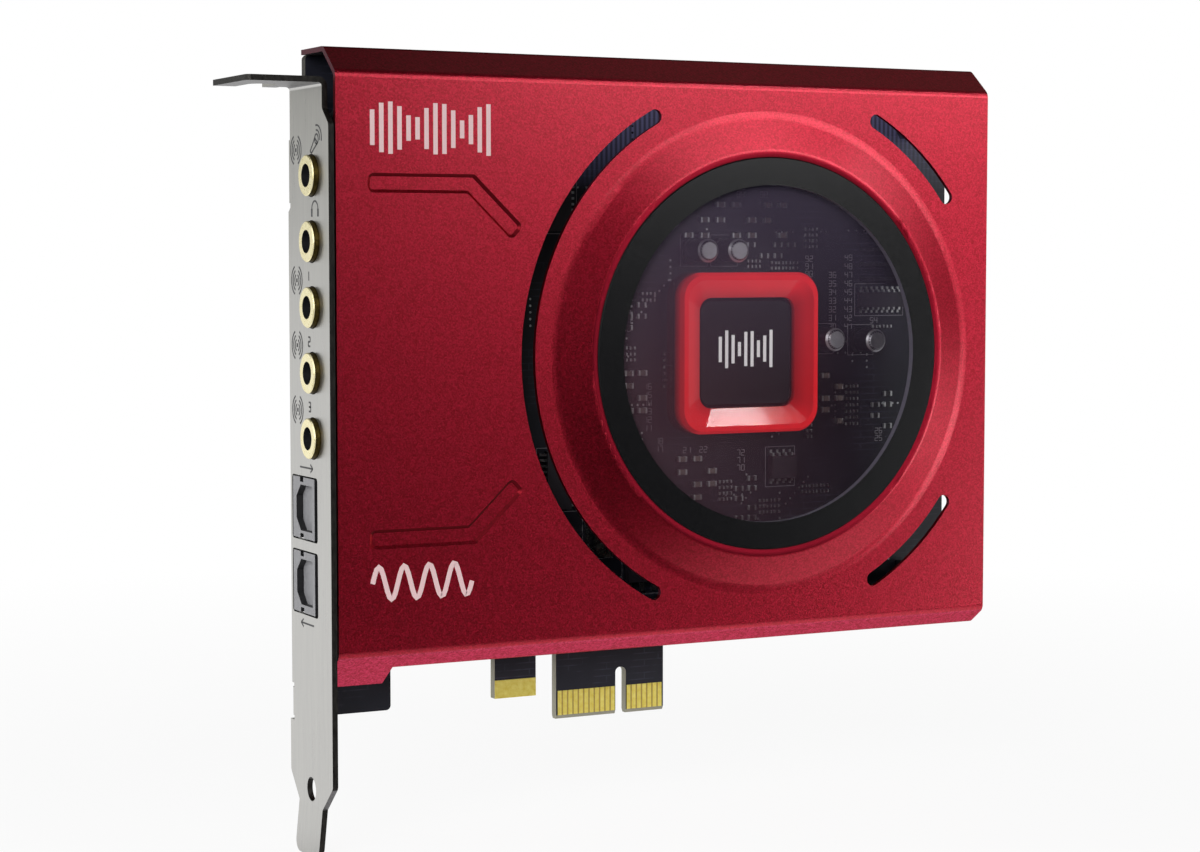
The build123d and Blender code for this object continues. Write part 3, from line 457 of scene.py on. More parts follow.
LEGGED = [
    "window_chip", "codec_chip", "line_amplifiers",
    "output_converter", "input_converter", "regulators",
]
FERRULES = all_of("jack_ferrule", 5)
BRUSHED_UPRIGHT = (1.0, 1.0, 0.05)
finishes = {
    shroud_paint(): ["shroud"],
    board_mask(): ["board"],
    smoked_pane(): ["window_pane"],
    lamp_red(): ["light_frame"],
    tin: ["jack_blades", "optical_leads"],
    chip_moulding: ["power_inductor", *LEGGED],
    # Darker, smoother moulding of the main chip
    surface(
        "chip_lacquer", "#120e14", "#19141b", grain=0.25, rough=(0.3, 0.4), bump=0.003,
        extra={"Specular IOR Level": 0.3},
    ): ["audio_processor"],
    # Contacts plated with hard gold, faint rubbed streaks
    surface("hard_gold_plate", "#eed95a", "#fbee86", grain=0.8, rough=(0.3, 0.42), metal=0.65): [
        "edge_contacts_front", "edge_contacts_back", "tab_plating",
    ],
    # Rings of the jacks, paler and brighter gold
    surface(
        "pale_gold_plate", "#f4e8ae", "#fff6d0", grain=0.5, rough=(0.25, 0.35), metal=0.8,
    ): FERRULES,
    # Nickel on rolled steel, brushed up and down
    surface(
        "brushed_nickel", "#bbbab7", "#c6c5c1",
        grain=0.6, rough=(0.27, 0.34), metal=1.0, bump=0.001, stretch=BRUSHED_UPRIGHT,
    ): ["io_bracket"],
    # Zinc-plated screws and posts
    surface("zinc_plate", "#9b9c9e", "#b4b5b8", grain=0.7, rough=(0.25, 0.38), metal=1.0): [
        "bracket_screws", "shroud_screws", "standoffs",
    ],
    nylon: ["capacitor_bases", "header_housing", *all_of("jack_body", 5)],
    # Pale grey moulding of the optical sockets
    surface("grey_moulding", "#7e7e81", "#909093", grain=0.6, rough=(0.38, 0.5), bump=0.008): [
        "optical_out_body", "optical_in_body", "optical_out_shutter", "optical_in_shutter",
    ],
    # Dark epoxy of the light elements
    surface("dark_epoxy", "#1b1a20", "#26242c", grain=0.8, rough=(0.2, 0.3)): [
        "optical_emitter", "optical_receiver",
    ],
    # Satin black moulding round the window
    surface(
        "satin_black_moulding", "#08080a", "#0c0c0f", grain=0.35, rough=(0.2, 0.26), bump=0.002,
    ): ["window_bezel"],
    # Small lamps in clear resin
    surface("clear_resin", "#e6d7c4", "#f2e6d6", grain=0.5, rough=(0.15, 0.25)): ["light_diodes"],
    # Drawn aluminium cans
    surface("drawn_aluminium", "#b0aeb4", "#c4c2c8", grain=0.6, rough=(0.4, 0.5), metal=0.8): [
        "capacitor_cans",
    ],
    # Baked ceramic, warm grey
    surface("baked_ceramic", "#6c625e", "#847974", grain=0.3, rough=(0.4, 0.55)): [
        "chip_capacitors",
    ],
    # Black glaze on the resistors
    surface("black_glaze", "#17171a", "#232327", grain=0.3, rough=(0.25, 0.4)): ["chip_resistors"],
    # Nickel can of the crystal
    surface("nickel_can", "#b3b0a8", "#cac7bf", grain=0.9, rough=(0.22, 0.32), metal=1.0): [
        "crystal",
    ],
    # Pins of the header, dull dark nickel
    surface("dark_nickel", "#5a595c", "#6c6b6e", grain=0.4, rough=(0.35, 0.45), metal=1.0): [
        "header_pins",
    ],
}
for material, names in finishes.items():
    for name in names:
        nodes[name].data.materials.clear()
        nodes[name].data.materials.append(material)


# Separate solids of a node: low corner, high corner and faces of each
def solids(name):
    mesh = nodes[name].data
    parent = {}

    def root(key):
        while parent[key] != key:
            key = parent[key]
        return key

    keys = [tuple(round(c / MM, 2) for c in vertex.co) for vertex in mesh.vertices]
    for key in keys:
        parent.setdefault(key, key)
    for face in mesh.polygons:
        first = root(keys[face.vertices[0]])
        for corner in face.vertices[1:]:
            parent[root(keys[corner])] = first
    groups = {}
    for face in mesh.polygons:
        groups.setdefault(root(keys[face.vertices[0]]), []).append(face)
    found = []
    for faces in groups.values():
        points = [keys[corner] for face in faces for corner in face.vertices]
        low = Vector(min(p[i] for p in points) for i in range(3))
        high = Vector(max(p[i] for p in points) for i in range(3))
        found.append((low, high, faces))
    return found


# Second finish for the faces that pass a test, out of all faces of a node or of those given
def repaint(name, material, test, faces=None):
    mesh = nodes[name].data
    if material.name not in mesh.materials:
        mesh.materials.append(material)
    index = mesh.materials.find(material.name)
    for face in faces or mesh.polygons:
        if test(face.center / MM, face.normal):
            face.material_index = index


# How much of a face's normal lies along an axis, from just turned to square on
BARELY = 0.1
SLIGHTLY = 0.2
TILTED = 0.3
HALFWAY = 0.5
MOSTLY = 0.7
SQUARE = 0.9

# The shroud's sloping edges start this far above and below its middle
FLANGE_RISE = 44.0
shroud_middle = (shroud_low + shroud_high) / 2


def inside_shroud(centre, normal):
    up = centre.z - shroud_middle.z
    on_flange = abs(normal.z) > SQUARE and abs(up) > FLANGE_RISE
    return normal.y > BARELY or on_flange and normal.z * up < 0


# Pressed grooves: just behind the face, left of the ring
GROOVE_RIGHT = -16.0
GROOVE_HEIGHTS = (20.0, 100.0)
GROOVE_DEPTHS = (0.02, 0.8)


def in_groove(centre):
    low, high = GROOVE_HEIGHTS
    near, far = GROOVE_DEPTHS
    depth = centre.y - SHROUD_FACE
    return centre.x < GROOVE_RIGHT and low < centre.z < high and near < depth < far


# Turned lip of the raised ring and walls of the window's frame, by how far they face the axis
ring_axis = (bezel_low + bezel_high) / 2
bezel_reach = (bezel_high.x - bezel_low.x) / 2
LIP_CLEAR = 0.7
LIP_TURN = -0.04
LIT_LIP_TURN = 0.09


def outward(centre, normal):
    return (centre - ring_axis).xz.normalized().dot(normal.xz)


# On the lower left, where the lip turns to the light, the painted shade reaches over the crest
def on_lip(centre, normal):
    way = centre - ring_axis
    limit = LIT_LIP_TURN if way.x + way.z < 0 else LIP_TURN
    return way.xz.length < bezel_reach - LIP_CLEAR and outward(centre, normal) < limit


repaint("shroud", primer, inside_shroud)
repaint("shroud", paint_edge, lambda c, n: n.x < -SQUARE)
# Painted shade on the groove walls that face down or to the left
repaint("shroud", groove_painted_shade, lambda c, n: in_groove(c) and min(n.x, n.z) < -TILTED)
# Painted shade on the ring's turned lip
repaint("shroud", lip_paint(), lambda c, n: n.y < BARELY and on_lip(c, n))
repaint("window_bezel", frame_corner, lambda c, n: outward(c, n) > TILTED)
# Painted highlight on the inner wall of the window's frame
repaint("window_bezel", frame_wall_painted_highlight, lambda c, n: outward(c, n) < -TILTED)
# Dark sheared steel on the bracket's forward edges, and as painted shade on its rounded corners
repaint("io_bracket", sheared_and_painted_shade, lambda c, n: n.y < -SLIGHTLY)
repaint("io_bracket", dull_nickel, lambda c, n: n.z < -MOSTLY)
repaint("io_bracket", sheared_and_painted_shade, lambda c, n: c.x < BRACKET_TAB_END and abs(n.z) < HALFWAY)
# All of the optical sockets but their front face takes the black nylon, as painted shade in the
# ports
SOCKET_RIM = 0.1
for name in ("optical_out_body", "optical_in_body"):
    repaint(name, nylon, lambda c, n: n.x > -MOSTLY or c.x > BRACKET_FACE + SOCKET_RIM)
FERRULE_WALL = 0.6
for name, (low, high) in zip(FERRULES, ferrule_boxes):
    axis = (low + high) / 2
    bore = (high.z - low.z) / 2 - FERRULE_WALL
    # Painted shade on the sides of the jacks' rings
    repaint(name, ring_side_painted_shade, lambda c, n: abs(n.x) < HALFWAY)
    repaint(name, nylon, lambda c, n: abs(n.x) < HALFWAY and (c - axis).yz.length < bore)
repaint("board", laminate, lambda c, n: abs(n.y) < HALFWAY or n.z < -TILTED)
repaint("board", stained_laminate, lambda c, n: abs(n.y) < HALFWAY and c.z > CONNECTOR_TOP)
repaint("capacitor_cans", can_side, lambda c, n: abs(n.y) < MOSTLY)
# Legs of the chips: whatever stands out from under the top of the package
TOP_DEPTH = 0.01
PACKAGE_EDGE = 0.02
for name in LEGGED:
    vertices = nodes[name].data.vertices
    for low, high, faces in solids(name):
        tops = [face for face in faces if face.center.y / MM < low.y + TOP_DEPTH]
        corners = [vertices[v].co / MM for face in tops for v in face.vertices]
        x0 = min(p.x for p in corners) - PACKAGE_EDGE
        x1 = max(p.x for p in corners) + PACKAGE_EDGE
        z0 = min(p.z for p in corners) - PACKAGE_EDGE
        z1 = max(p.z for p in corners) + PACKAGE_EDGE
        repaint(name, tin, lambda c, n: not (x0 < c.x < x1 and z0 < c.z < z1), faces)


def closed_mesh(name, points, faces):
    mesh = bpy.data.meshes.new(name)
    mesh.from_pydata(points, [], faces)
    shape = bmesh.new()
    shape.from_mesh(mesh)
    bmesh.ops.recalc_face_normals(shape, faces=shape.faces)
    shape.to_mesh(mesh)
    shape.free()
    return mesh


# Mesh made a piece of the card
def ridden(name, mesh):
    made = bpy.data.objects.new(name, mesh)
    bpy.context.collection.objects.link(made)
    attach(made, "card")


def arc(x, z, radius, start, end, steps=14):
    angles = [radians(start + (end - start) * i / steps) for i in range(steps + 1)]
    return [(x + radius * cos(a), z + radius * sin(a)) for a in angles]


# Drawn line of even width, as one four-cornered outline for each step of its path
def stroke(path, width):
    path = [Vector(p) for p in path]
    sides = []
    for i, p in enumerate(path):
        run = (path[min(i + 1, len(path) - 1)] - path[max(i - 1, 0)]).normalized()
        side = Vector((-run.y, run.x)) * width / 2
        sides.append((p + side, p - side))
    return [(a[0], b[0], b[1], a[1]) for a, b in zip(sides, sides[1:])]


# Straight lines that meet at corners
def lines(path, width):
    return [outline for pair in zip(path, path[1:]) for outline in stroke(pair, width)]


def rectangle(x0, x1, z0, z1):
    return [(x0, z0), (x1, z0), (x1, z1), (x0, z1)]


# Ink printed on a flat face: closed outlines raised by a fiftieth of a millimetre
INK_HEIGHT = 0.02


def printed(name, outlines, place, material):
    points = []
    faces = []
    for outline in outlines:
        start = len(points)
        count = len(outline)
        for height in (0.0, INK_HEIGHT):
            points += [Vector(place(u, v, height)) * MM for u, v in outline]
        faces.append([start + i for i in range(count)])
        faces.append([start + count + i for i in range(count)])
        for i in range(count):
            j = (i + 1) % count
            faces.append([start + i, start + j, start + count + j, start + count + i])
    mesh = closed_mesh(name, points, faces)
    mesh.materials.append(material)
    ridden(name, mesh)


def on_bracket(y, z, up):
    return BRACKET_FACE - up, y, z


def on_shroud(x, z, up):
    return x, SHROUD_FACE - up, z


def on_chip(x, z, up):
    return x, chip_low.y - up, z


def on_board(x, z, up):
    return x, COMPONENT_SIDE - up, z


def on_board_back(x, z, up):
    return x, SOLDER_SIDE + up, z


# Pictograms beside the sockets: sound waves, microphone, headphones, numbers and arrows
def bracket_marks():
    line = 0.28
    thick = 0.6
    wave_y, wave_rise = -2.2, 4.1
    digit_y, digit_rise = -7.4, 4.8
    voice_y, voice_rise = -11.1, 5.5
    phones_y, phones_rise = -10.2, 4.9
    arrow_back = -3.0
    arrow_front = -8.5
    marks = []
    jacks = [(low + high) / 2 for low, high in ferrule_boxes]
    for i in (0, 2, 3, 4):
        z = jacks[i].z + wave_rise
        for side in (0, 180):
            for radius in (0.9, 1.6, 2.3):
                marks += stroke(arc(wave_y, z, radius, side - 66, side + 66), line)
        marks += stroke([(wave_y, z - 0.3), (wave_y, z + 0.3)], thick)
    digits = {
        2: [(0.0, -0.7), (0.0, 0.7)],
        3: [(0.4, 0.7), (-0.4, 0.7), (-0.4, 0.0), (0.4, 0.0), (0.4, -0.7), (-0.4, -0.7)],
        4: [
            (0.4, 0.7), (-0.4, 0.7), (-0.4, 0.0), (0.3, 0.0),
            (-0.4, 0.0), (-0.4, -0.7), (0.4, -0.7),
        ],
    }
    for i, path in digits.items():
        marks += lines([(digit_y + y, jacks[i].z + digit_rise + z) for y, z in path], line)
    z = jacks[0].z
    handle = [(-8.4, 3.7), (-10.4, 5.7), (-11.5, 4.9), (-8.9, 3.4), (-8.4, 3.7)]
    marks += lines([(y, z + up) for y, up in handle], line)
    z += voice_rise
    marks += stroke(arc(voice_y, z, 0.75, 0, 360, 16), line)
    for radius in (1.35, 2.1):
        marks += stroke(arc(voice_y, z, radius, 80, 190), line)
    z = jacks[1].z + phones_rise
    band = 1.3
    marks += stroke(arc(phones_y, z, band, 0, 180), line)
    for ear_y in (phones_y - band, phones_y + band):
        marks += stroke([(ear_y, z + 0.1), (ear_y, z - 1.1)], thick)
    clear = 1.6
    above = box("optical_out_body")[1].z + clear
    below = box("optical_in_body")[0].z - clear
    for z, tip, way in ((above, arrow_front, 1), (below, arrow_back, -1)):
        marks += stroke([(arrow_back, z), (arrow_front, z)], line)
        marks += lines([(tip + way, z + 0.6), (tip, z), (tip + way, z - 0.6)], line)
    printed("bracket_marks", marks, on_bracket, grey_ink)


# Plain level bars that rise and fall along a row
def bars(x, z, count, pitch, width, tall):
    shortest = 0.25
    swing = 2.3 * pi
    start = 0.6
    found = []
    for i in range(count):
        t = i / (count - 1)
        height = tall * (shortest + (1 - shortest) * abs(sin(swing * t + start)))
        a = x + pitch * i
        found.append(rectangle(a, a + width, z - height / 2, z + height / 2))
    return found


# Bars and one wave on the shroud, and bars on the main chip
def face_marks():
    left = -50.8
    bars_z = 96.6
    wave_z = 26.6
    swing = 2.6
    step = 0.35
    turn = 0.52
    count = 49
    marks = bars(left, bars_z, count=14, pitch=1.5, width=0.75, tall=8.0)
    wave = [(left + step * i, wave_z + swing * sin(turn * i)) for i in range(count)]
    marks += stroke(wave, width=0.8)
    printed("face_marks", marks, on_shroud, pale_ink)
    chip = (chip_low + chip_high) / 2
    marks = bars(chip.x - 5.3, chip.z + 0.6, count=9, pitch=1.25, width=0.6, tall=6.4)
    printed("chip_marks", marks, on_chip, chip_ink_and_painted_glow)


# Dull white outlines on the board round the chips, the inductor, the crystal and the cans
def board_marks():
    gap = 0.5
    line = 0.1
    marks = []
    for name in [*LEGGED, "power_inductor", "crystal", "capacitor_bases"]:
        for low, high, _ in solids(name):
            corners = rectangle(low.x - gap, high.x + gap, low.z - gap, high.z + gap)
            marks += lines(corners + corners[:1], line)
    printed("board_marks", marks, on_board, board_ink)


# Plain reference numbers in seven-stroke figures beside the small parts
STROKES = {
    "a": ((0.0, 1.0), (0.6, 1.0)),
    "b": ((0.6, 1.0), (0.6, 0.5)),
    "c": ((0.6, 0.5), (0.6, 0.0)),
    "d": ((0.0, 0.0), (0.6, 0.0)),
    "e": ((0.0, 0.5), (0.0, 0.0)),
    "f": ((0.0, 1.0), (0.0, 0.5)),
    "g": ((0.0, 0.5), (0.6, 0.5)),
}
FIGURES = (
    "abcdef", "bc", "abged", "abgcd", "fgbc", "afgcd", "afgcde", "abc", "abcdefg", "abcdfg",
)
FIGURE_TALL = 0.95
FIGURE_PITCH = 0.9
FIGURE_LINE = 0.12


def number(x, z, value):
    found = []
    for i, figure in enumerate(str(value)):
        for key in FIGURES[int(figure)]:
            path = [
                (x + FIGURE_TALL * (FIGURE_PITCH * i + u), z + FIGURE_TALL * v)
                for u, v in STROKES[key]
            ]
            found += stroke(path, FIGURE_LINE)
    return found


# Columns of reference numbers: place of the lowest, count, step up and first number
def board_numbers():
    marks = []
    for x, z, count, step, first in (
        (41.0, 64.2, 7, 1.5, 30), (44.3, 64.2, 9, 1.5, 41), (4.4, 47.6, 6, 1.4, 11),
        (0.4, 64.4, 5, 1.3, 60), (22.6, 40.2, 3, 1.3, 70), (17.6, 87.0, 2, 1.3, 80),
        (22.4, 87.0, 2, 1.3, 84), (27.0, 87.0, 1, 1.3, 88), (12.0, 43.6, 1, 1.3, 21),
        (15.2, 43.6, 1, 1.3, 22), (50.8, 44.4, 2, 1.3, 25), (30.4, 46.0, 1, 1.3, 7),
        (49.6, 65.2, 1, 1.3, 54), (36.2, 73.4, 3, 1.3, 90), (8.4, 62.0, 4, 1.3, 13),
        (6.6, 44.0, 2, 1.3, 17),
    ):
        for i in range(count):
            marks += number(x, z + step * i, first + i)
    printed("board_numbers", marks, on_board, board_ink)


# Strips of bare laminate under the rows of contacts, front and back
def contact_ground():
    outlines = []
    rows = solids("edge_contacts_front")
    low = min(row[0].z for row in rows)
    high = max(row[1].z for row in rows)
    for side in (-1, 1):
        ends = [x for row in rows if (row[0].x > 0) == (side > 0) for x in (row[0].x, row[1].x)]
        outlines.append(rectangle(min(ends), max(ends), low, high))
    printed("contact_ground_front", outlines, on_board, bare_laminate)
    printed("contact_ground_back", outlines, on_board_back, bare_laminate)


# Copies of a template on points, each with its own size
def copying_group():
    tree = bpy.data.node_groups.new("copies_on_points", "GeometryNodeTree")
    for name, kind in (("Points", "Geometry"), ("Template", "Object"), ("Finish", "Material")):
        tree.interface.new_socket(name=name, in_out="INPUT", socket_type="NodeSocket" + kind)
    tree.interface.new_socket(name="Copies", in_out="OUTPUT", socket_type="NodeSocketGeometry")
    given = add(tree, "NodeGroupInput").outputs
    template = add(tree, "GeometryNodeObjectInfo", {"Object": given["Template"]})
    size = add(tree, "GeometryNodeInputNamedAttribute", {
        "Name": "size",
    }, data_type="FLOAT_VECTOR")
    copies = add(tree, "GeometryNodeInstanceOnPoints", {
        "Points": given["Points"],
        "Instance": template.outputs["Geometry"],
        "Scale": size,
    })
    real = add(tree, "GeometryNodeRealizeInstances", {"Geometry": copies})
    dressed = add(tree, "GeometryNodeSetMaterial", {"Geometry": real, "Material": given["Finish"]})
    add(tree, "NodeGroupOutput", {"Copies": dressed})
    return tree


copying = copying_group()


# One piece made of many copies; places are centre and size in millimetres
def copied(name, template, places, material):
    mesh = bpy.data.meshes.new(name + "_points")
    mesh.from_pydata([Vector(centre) * MM for centre, _ in places], [], [])
    sizes = mesh.attributes.new("size", "FLOAT_VECTOR", "POINT")
    for item, (_, size) in zip(sizes.data, places):
        item.vector = Vector(size) * MM
    holder = bpy.data.objects.new(name + "_points", mesh)
    pattern = bpy.data.objects.new(name + "_template", template)
    for thing in (holder, pattern):
        bpy.context.collection.objects.link(thing)
    modifier = holder.modifiers.new("copies", "NODES")
    modifier.node_group = copying
    inputs = [item for item in copying.interface.items_tree if item.in_out == "INPUT"]
    sockets = {item.name: item.identifier for item in inputs}
    modifier[sockets["Template"]] = pattern
    modifier[sockets["Finish"]] = material
    graph = bpy.context.evaluated_depsgraph_get()
    result = bpy.data.meshes.new_from_object(holder.evaluated_get(graph))
    bpy.data.objects.remove(holder)
    bpy.data.objects.remove(pattern)
    result.name = name
    ridden(name, result)


# Block one unit wide with worn edges
def worn_block():
    mesh = bpy.data.meshes.new("worn_block")
    shape = bmesh.new()
    bmesh.ops.create_cube(shape, size=1.0)
    bmesh.ops.bevel(
        shape, geom=shape.edges[:], offset=0.07, segments=2, profile=0.5, affect="EDGES",
    )
    shape.to_mesh(mesh)
    shape.free()
    return mesh


# Solid turned round Y from (radius, height) pairs
def turned(name, profile, steps=20):
    points = []
    faces = []
    for radius, height in profile:
        for i in range(steps):
            a = 2 * pi * i / steps
            points.append((radius * cos(a), height, radius * sin(a)))
    last = (len(profile) - 1) * steps
    for ring in range(0, last, steps):
        for i in range(steps):
            j = (i + 1) % steps
            faces.append((ring + i, ring + j, ring + steps + j, ring + steps + i))
    faces.append(list(range(steps)))
    faces.append([last + i for i in range(steps)])
    return closed_mesh(name, points, faces)


# Tinned ends of the two-ended parts, a little proud of their bodies
def end_caps():
    length = 0.36
    inset = 0.14
    proud = 0.03
    side = 0.04
    places = []
    for name in ("chip_capacitors", "chip_resistors"):
        for low, high, _ in solids(name):
            middle = (low + high) / 2
            size = (length, high.y - low.y + 2 * proud, high.z - low.z + 2 * side)
            for x in (low.x + inset, high.x - inset):
                places.append(((x, middle.y - proud, middle.z), size))
    copied("end_caps", worn_block(), places, tin)


# Smaller two-ended parts in blocks: first place, columns, rows and steps
def small_parts():
    body_size = (0.8, 0.34, 0.46)
    cap_size = (0.26, 0.38, 0.5)
    body_rise = 0.17
    cap_rise = 0.18
    reach = 0.4
    bodies = []
    caps = []
    for x0, z0, columns, rows, step_x, step_z in (
        (24.9, 75.2, 2, 2, 1.5, 0.9), (29.6, 74.9, 4, 2, 1.45, 0.9), (45.0, 47.6, 2, 7, 1.5, 1.1),
        (4.4, 69.6, 2, 2, 1.5, 1.1), (19.4, 35.4, 2, 4, 1.5, 1.0), (27.4, 32.8, 3, 3, 1.5, 1.0),
        (50.4, 64.6, 3, 1, 1.5, 1.0), (36.4, 78.6, 2, 4, 1.5, 1.0), (0.6, 59.6, 2, 3, 1.5, 1.0),
        (8.6, 55.0, 1, 6, 1.5, 1.1), (37.0, 45.6, 1, 5, 1.5, 1.0), (36.0, 36.0, 4, 2, 1.5, 1.0),
    ):
        for i in range(columns):
            for k in range(rows):
                x = x0 + step_x * i
                z = z0 + step_z * k
                bodies.append(((x, COMPONENT_SIDE - body_rise, z), body_size))
                for end in (x - reach, x + reach):
                    caps.append(((end, COMPONENT_SIDE - cap_rise, z), cap_size))
    copied("small_part_bodies", worn_block(), bodies, chip_moulding)
    copied("small_part_ends", worn_block(), caps, tin)


# Plated holes in short rows, scattered over both sides of the board
def plated_holes():
    radius = 0.2
    height = 0.02
    rows = 110
    rim = turned("plated_hole", [(1.0, 0.0), (1.0, 0.8), (0.55, 1.0), (0.5, 0.4)], 10)
    steps = ((1.1, 0.0), (0.0, 1.1), (0.9, 0.9), (1.6, 0.0))
    bracket_margin = 5.0
    far_margin = 12.0
    left, right = board_low.x + bracket_margin, board_high.x - far_margin
    lowest, highest = 21.0, board_high.z - far_margin
    chance = Random(11)
    places = []
    for _ in range(rows):
        x = chance.uniform(left, right)
        z = chance.uniform(lowest, highest)
        step = chance.choice(steps)
        for k in range(chance.randint(1, 6)):
            for side, up in ((COMPONENT_SIDE, -height), (SOLDER_SIDE, height)):
                places.append(((x + step[0] * k, side, z + step[1] * k), (radius, up, radius)))
    copied("plated_holes", rim, places, tin)


# Solder cones round the blades, leads and pins on the back of the board
def solder_joints():
    rings = 6
    tall = 0.8
    taper = 0.62
    header_inset = 0.32
    profile = [(1.0 - taper * (k / rings) ** 0.5, tall * k / rings) for k in range(rings + 1)]
    cone = turned("solder_cone", profile)
    places = []
    for name, radius in (("jack_blades", 1.05), ("optical_leads", 0.85), ("header_pins", 0.8)):
        for low, high, _ in solids(name):
            x = low.x + header_inset if name == "header_pins" else (low.x + high.x) / 2
            places.append(((x, SOLDER_SIDE, (low.z + high.z) / 2), (radius, 1.0, radius)))
    copied("solder_joints", cone, places, tin)


bracket_marks()
face_marks()
board_marks()
board_numbers()
contact_ground()
end_caps()
small_parts()
plated_holes()
solder_joints()


# Pale floor just under the bracket's tongue; it looks white and still takes a soft shadow near the
# card, and ends in front of it so that the ring's lower left reflects no white
def stage_floor():
    reach = 4.0
    front = -0.085
    level = box_at_load[0][2] - 0.2 * MM
    mesh = bpy.data.meshes.new("floor")
    corners = [(x, y, level) for x, y in rectangle(-reach, reach, front, reach)]
    mesh.from_pydata(corners, [], [(0, 1, 2, 3)])
    floor = bpy.data.objects.new("floor", mesh)
    bpy.context.collection.objects.link(floor)
    material, tree, place = new_material("white_paper")
    seen = add(tree, "ShaderNodeLightPath").outputs
    way = add(tree, "ShaderNodeSeparateXYZ", {"Vector": place}).outputs
    # In reflections the floor's white fades to plain paper towards the front and left: painted
    # reflection
    slant = add(tree, "ShaderNodeMath", {
        0: way["X"],
        1: 0.5,
        2: way["Y"],
    }, operation="MULTIPLY_ADD")
    under = add(tree, "ShaderNodeMapRange", {
        "Value": slant,
        "From Min": -62.0 * MM,
        "From Max": -16.0 * MM,
    })
    mirrored = add(tree, "ShaderNodeMath", {
        0: seen["Is Glossy Ray"],
        1: under,
    }, operation="MULTIPLY")
    direct = add(tree, "ShaderNodeMath", {
        0: seen["Is Camera Ray"],
        1: mirrored,
    }, operation="MAXIMUM")
    either = add(tree, "ShaderNodeMath", {
        0: direct,
        1: seen["Is Transmission Ray"],
    }, operation="MAXIMUM")
    far = add(tree, "ShaderNodeVectorMath", {0: place}, operation="LENGTH").outputs["Value"]
    white = add(tree, "ShaderNodeMapRange", {
        "Value": far,
        "From Min": 0.1,
        "From Max": 0.35,
        "To Min": 0.92,
    })
    share = add(tree, "ShaderNodeMath", {0: either, 1: white}, operation="MULTIPLY")
    fibre = add(tree, "ShaderNodeTexNoise", {"Vector": place, "Scale": 1 / (2.0 * MM), **CLOUDY})
    colour = add(tree, "ShaderNodeMix", {
        "Factor": fibre,
        "A": "#f4f4f4",
        "B": "#fbfbfb",
    }, data_type="RGBA")
    paper = add(tree, "ShaderNodeBsdfDiffuse", {"Color": colour})
    glow = add(tree, "ShaderNodeEmission", {"Color": "#ffffff", "Strength": 1.0})
    mixed = add(tree, "ShaderNodeMixShader", {0: share, 1: paper, 2: glow})
    add(tree, "ShaderNodeOutputMaterial", {"Surface": mixed})
    mesh.materials.append(material)


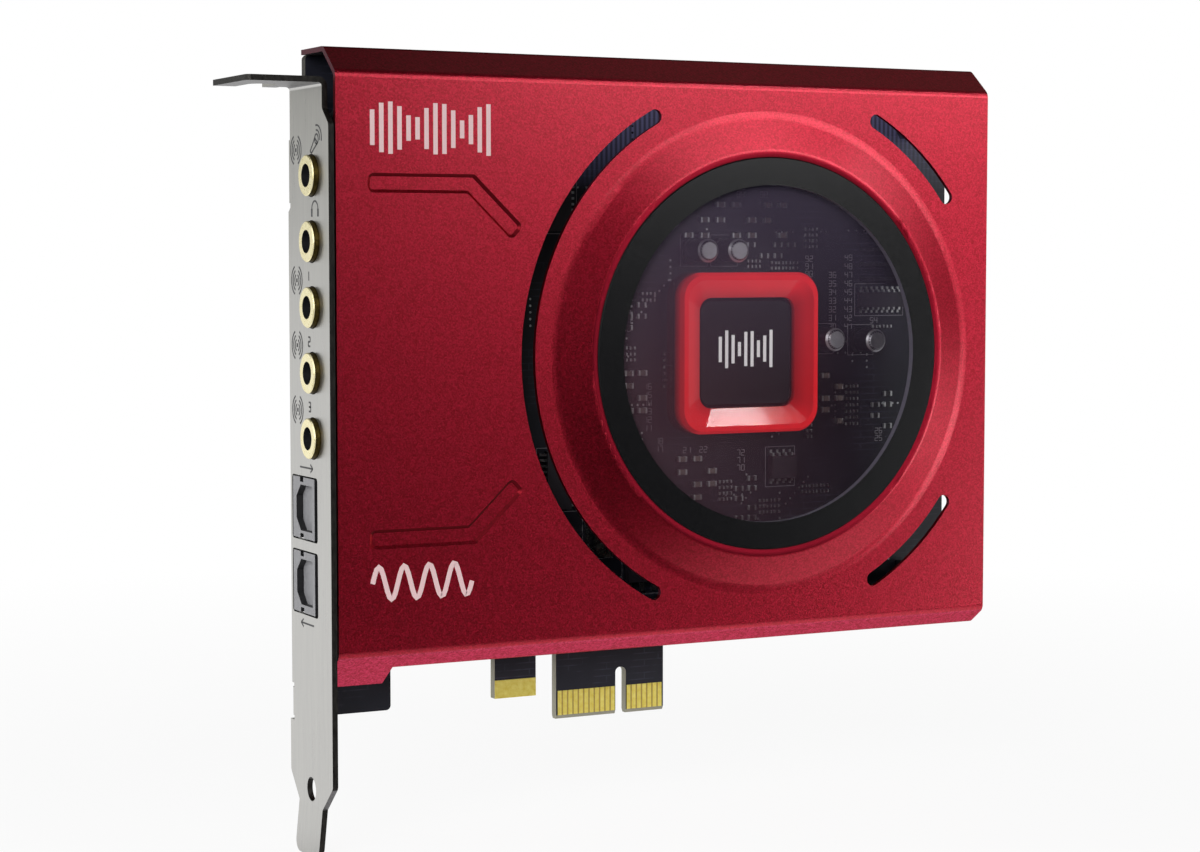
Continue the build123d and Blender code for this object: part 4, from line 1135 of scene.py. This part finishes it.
# White behind the card, also in what metal and glass show of it; the room's own light is grey
# behind the card and dark overhead and in front
def surroundings():
    world = bpy.data.worlds.new("studio")
    bpy.context.scene.world = world
    world.use_nodes = True
    tree = world.node_tree
    tree.nodes.clear()
    around = add(tree, "ShaderNodeTexCoord").outputs["Generated"]
    way = add(tree, "ShaderNodeSeparateXYZ", {"Vector": around}).outputs
    behind = add(tree, "ShaderNodeMapRange", {
        "Value": way["Y"],
        "From Min": -0.5,
        "From Max": 0.7,
    })
    overhead = add(tree, "ShaderNodeMapRange", {
        "Value": way["Z"],
        "From Min": 0.1,
        "From Max": 0.55,
    })
    walls = add(tree, "ShaderNodeMix", {
        "Factor": behind,
        "A": "#181818",
        "B": "#b4b4b0",
    }, data_type="RGBA")
    room = add(tree, "ShaderNodeMix", {
        "Factor": overhead,
        "A": walls,
        "B": "#080808",
    }, data_type="RGBA")
    backdrop = add(tree, "ShaderNodeMapRange", {
        "Value": way["Z"],
        "From Min": -0.02,
        "From Max": 0.05,
        "To Min": 1.0,
        "To Max": 0.0,
    })
    shown = add(tree, "ShaderNodeMath", {0: behind, 1: backdrop}, operation="MULTIPLY")
    seen = add(tree, "ShaderNodeLightPath").outputs
    mirrored = add(tree, "ShaderNodeMath", {
        0: seen["Is Glossy Ray"],
        1: shown,
    }, operation="MULTIPLY")
    direct = add(tree, "ShaderNodeMath", {
        0: seen["Is Camera Ray"],
        1: seen["Is Transmission Ray"],
    }, operation="MAXIMUM")
    white = add(tree, "ShaderNodeMath", {0: direct, 1: mirrored}, operation="MAXIMUM")
    colour = add(tree, "ShaderNodeMix", {
        "Factor": white,
        "A": room,
        "B": "#ffffff",
    }, data_type="RGBA")
    background = add(tree, "ShaderNodeBackground", {"Color": colour, "Strength": 1.0})
    add(tree, "ShaderNodeOutputWorld", {"Surface": background})


def aimed(thing, place, aim):
    thing.location = place
    thing.rotation_euler = (Vector(aim) - Vector(place)).to_track_quat("-Z", "Y").to_euler()
    bpy.context.collection.objects.link(thing)


def softbox(name, place, aim, width, height, watts):
    light = bpy.data.lights.new(name, "AREA")
    light.shape = "RECTANGLE"
    light.size = width
    light.size_y = height
    light.energy = watts
    aimed(bpy.data.objects.new(name, light), place, aim)


middle = Vector((0.005, -0.01, 0.055))
lamp = (0.02, -0.005, 0.05)
top_bend = (0.03, -0.012, 0.107)
stage_floor()
surroundings()
softbox("key_right", (0.52, -0.66, 0.29), middle, width=0.52, height=0.26, watts=1.48)
softbox("high_right", (0.30, -0.62, 0.50), middle, width=0.42, height=0.16, watts=0.45)
softbox("low_right", (0.78, -0.62, -0.10), middle, width=0.34, height=0.2, watts=0.9)
softbox("spark", (0.414, -0.45, 0.577), lamp, width=0.036, height=0.05, watts=0.2)
softbox("overhead_right", (0.42, 0.10, 0.72), top_bend, width=0.5, height=0.4, watts=0.09)
softbox("front_left", (-0.75, -0.75, 0.40), middle, width=0.6, height=0.6, watts=9.0)
softbox("fill_left", (-0.80, 0.10, 0.30), middle, width=0.9, height=0.9, watts=3.6)

# Camera as in the photograph: to the bracket's side of the card, slightly above its middle
CAMERA_PLACE = Vector((-0.19997, -0.37974, 0.07759))
CAMERA_WAY = Vector((0.45847, 0.88614, -0.06758))
camera = bpy.data.cameras.new("camera")
camera.lens = 76.9
camera.sensor_width = 36.0
camera.clip_start = 0.01
eye = bpy.data.objects.new("camera", camera)
aimed(eye, CAMERA_PLACE, CAMERA_PLACE + CAMERA_WAY)
bpy.context.scene.camera = eye
bpy.context.scene.view_settings.view_transform = "Standard"
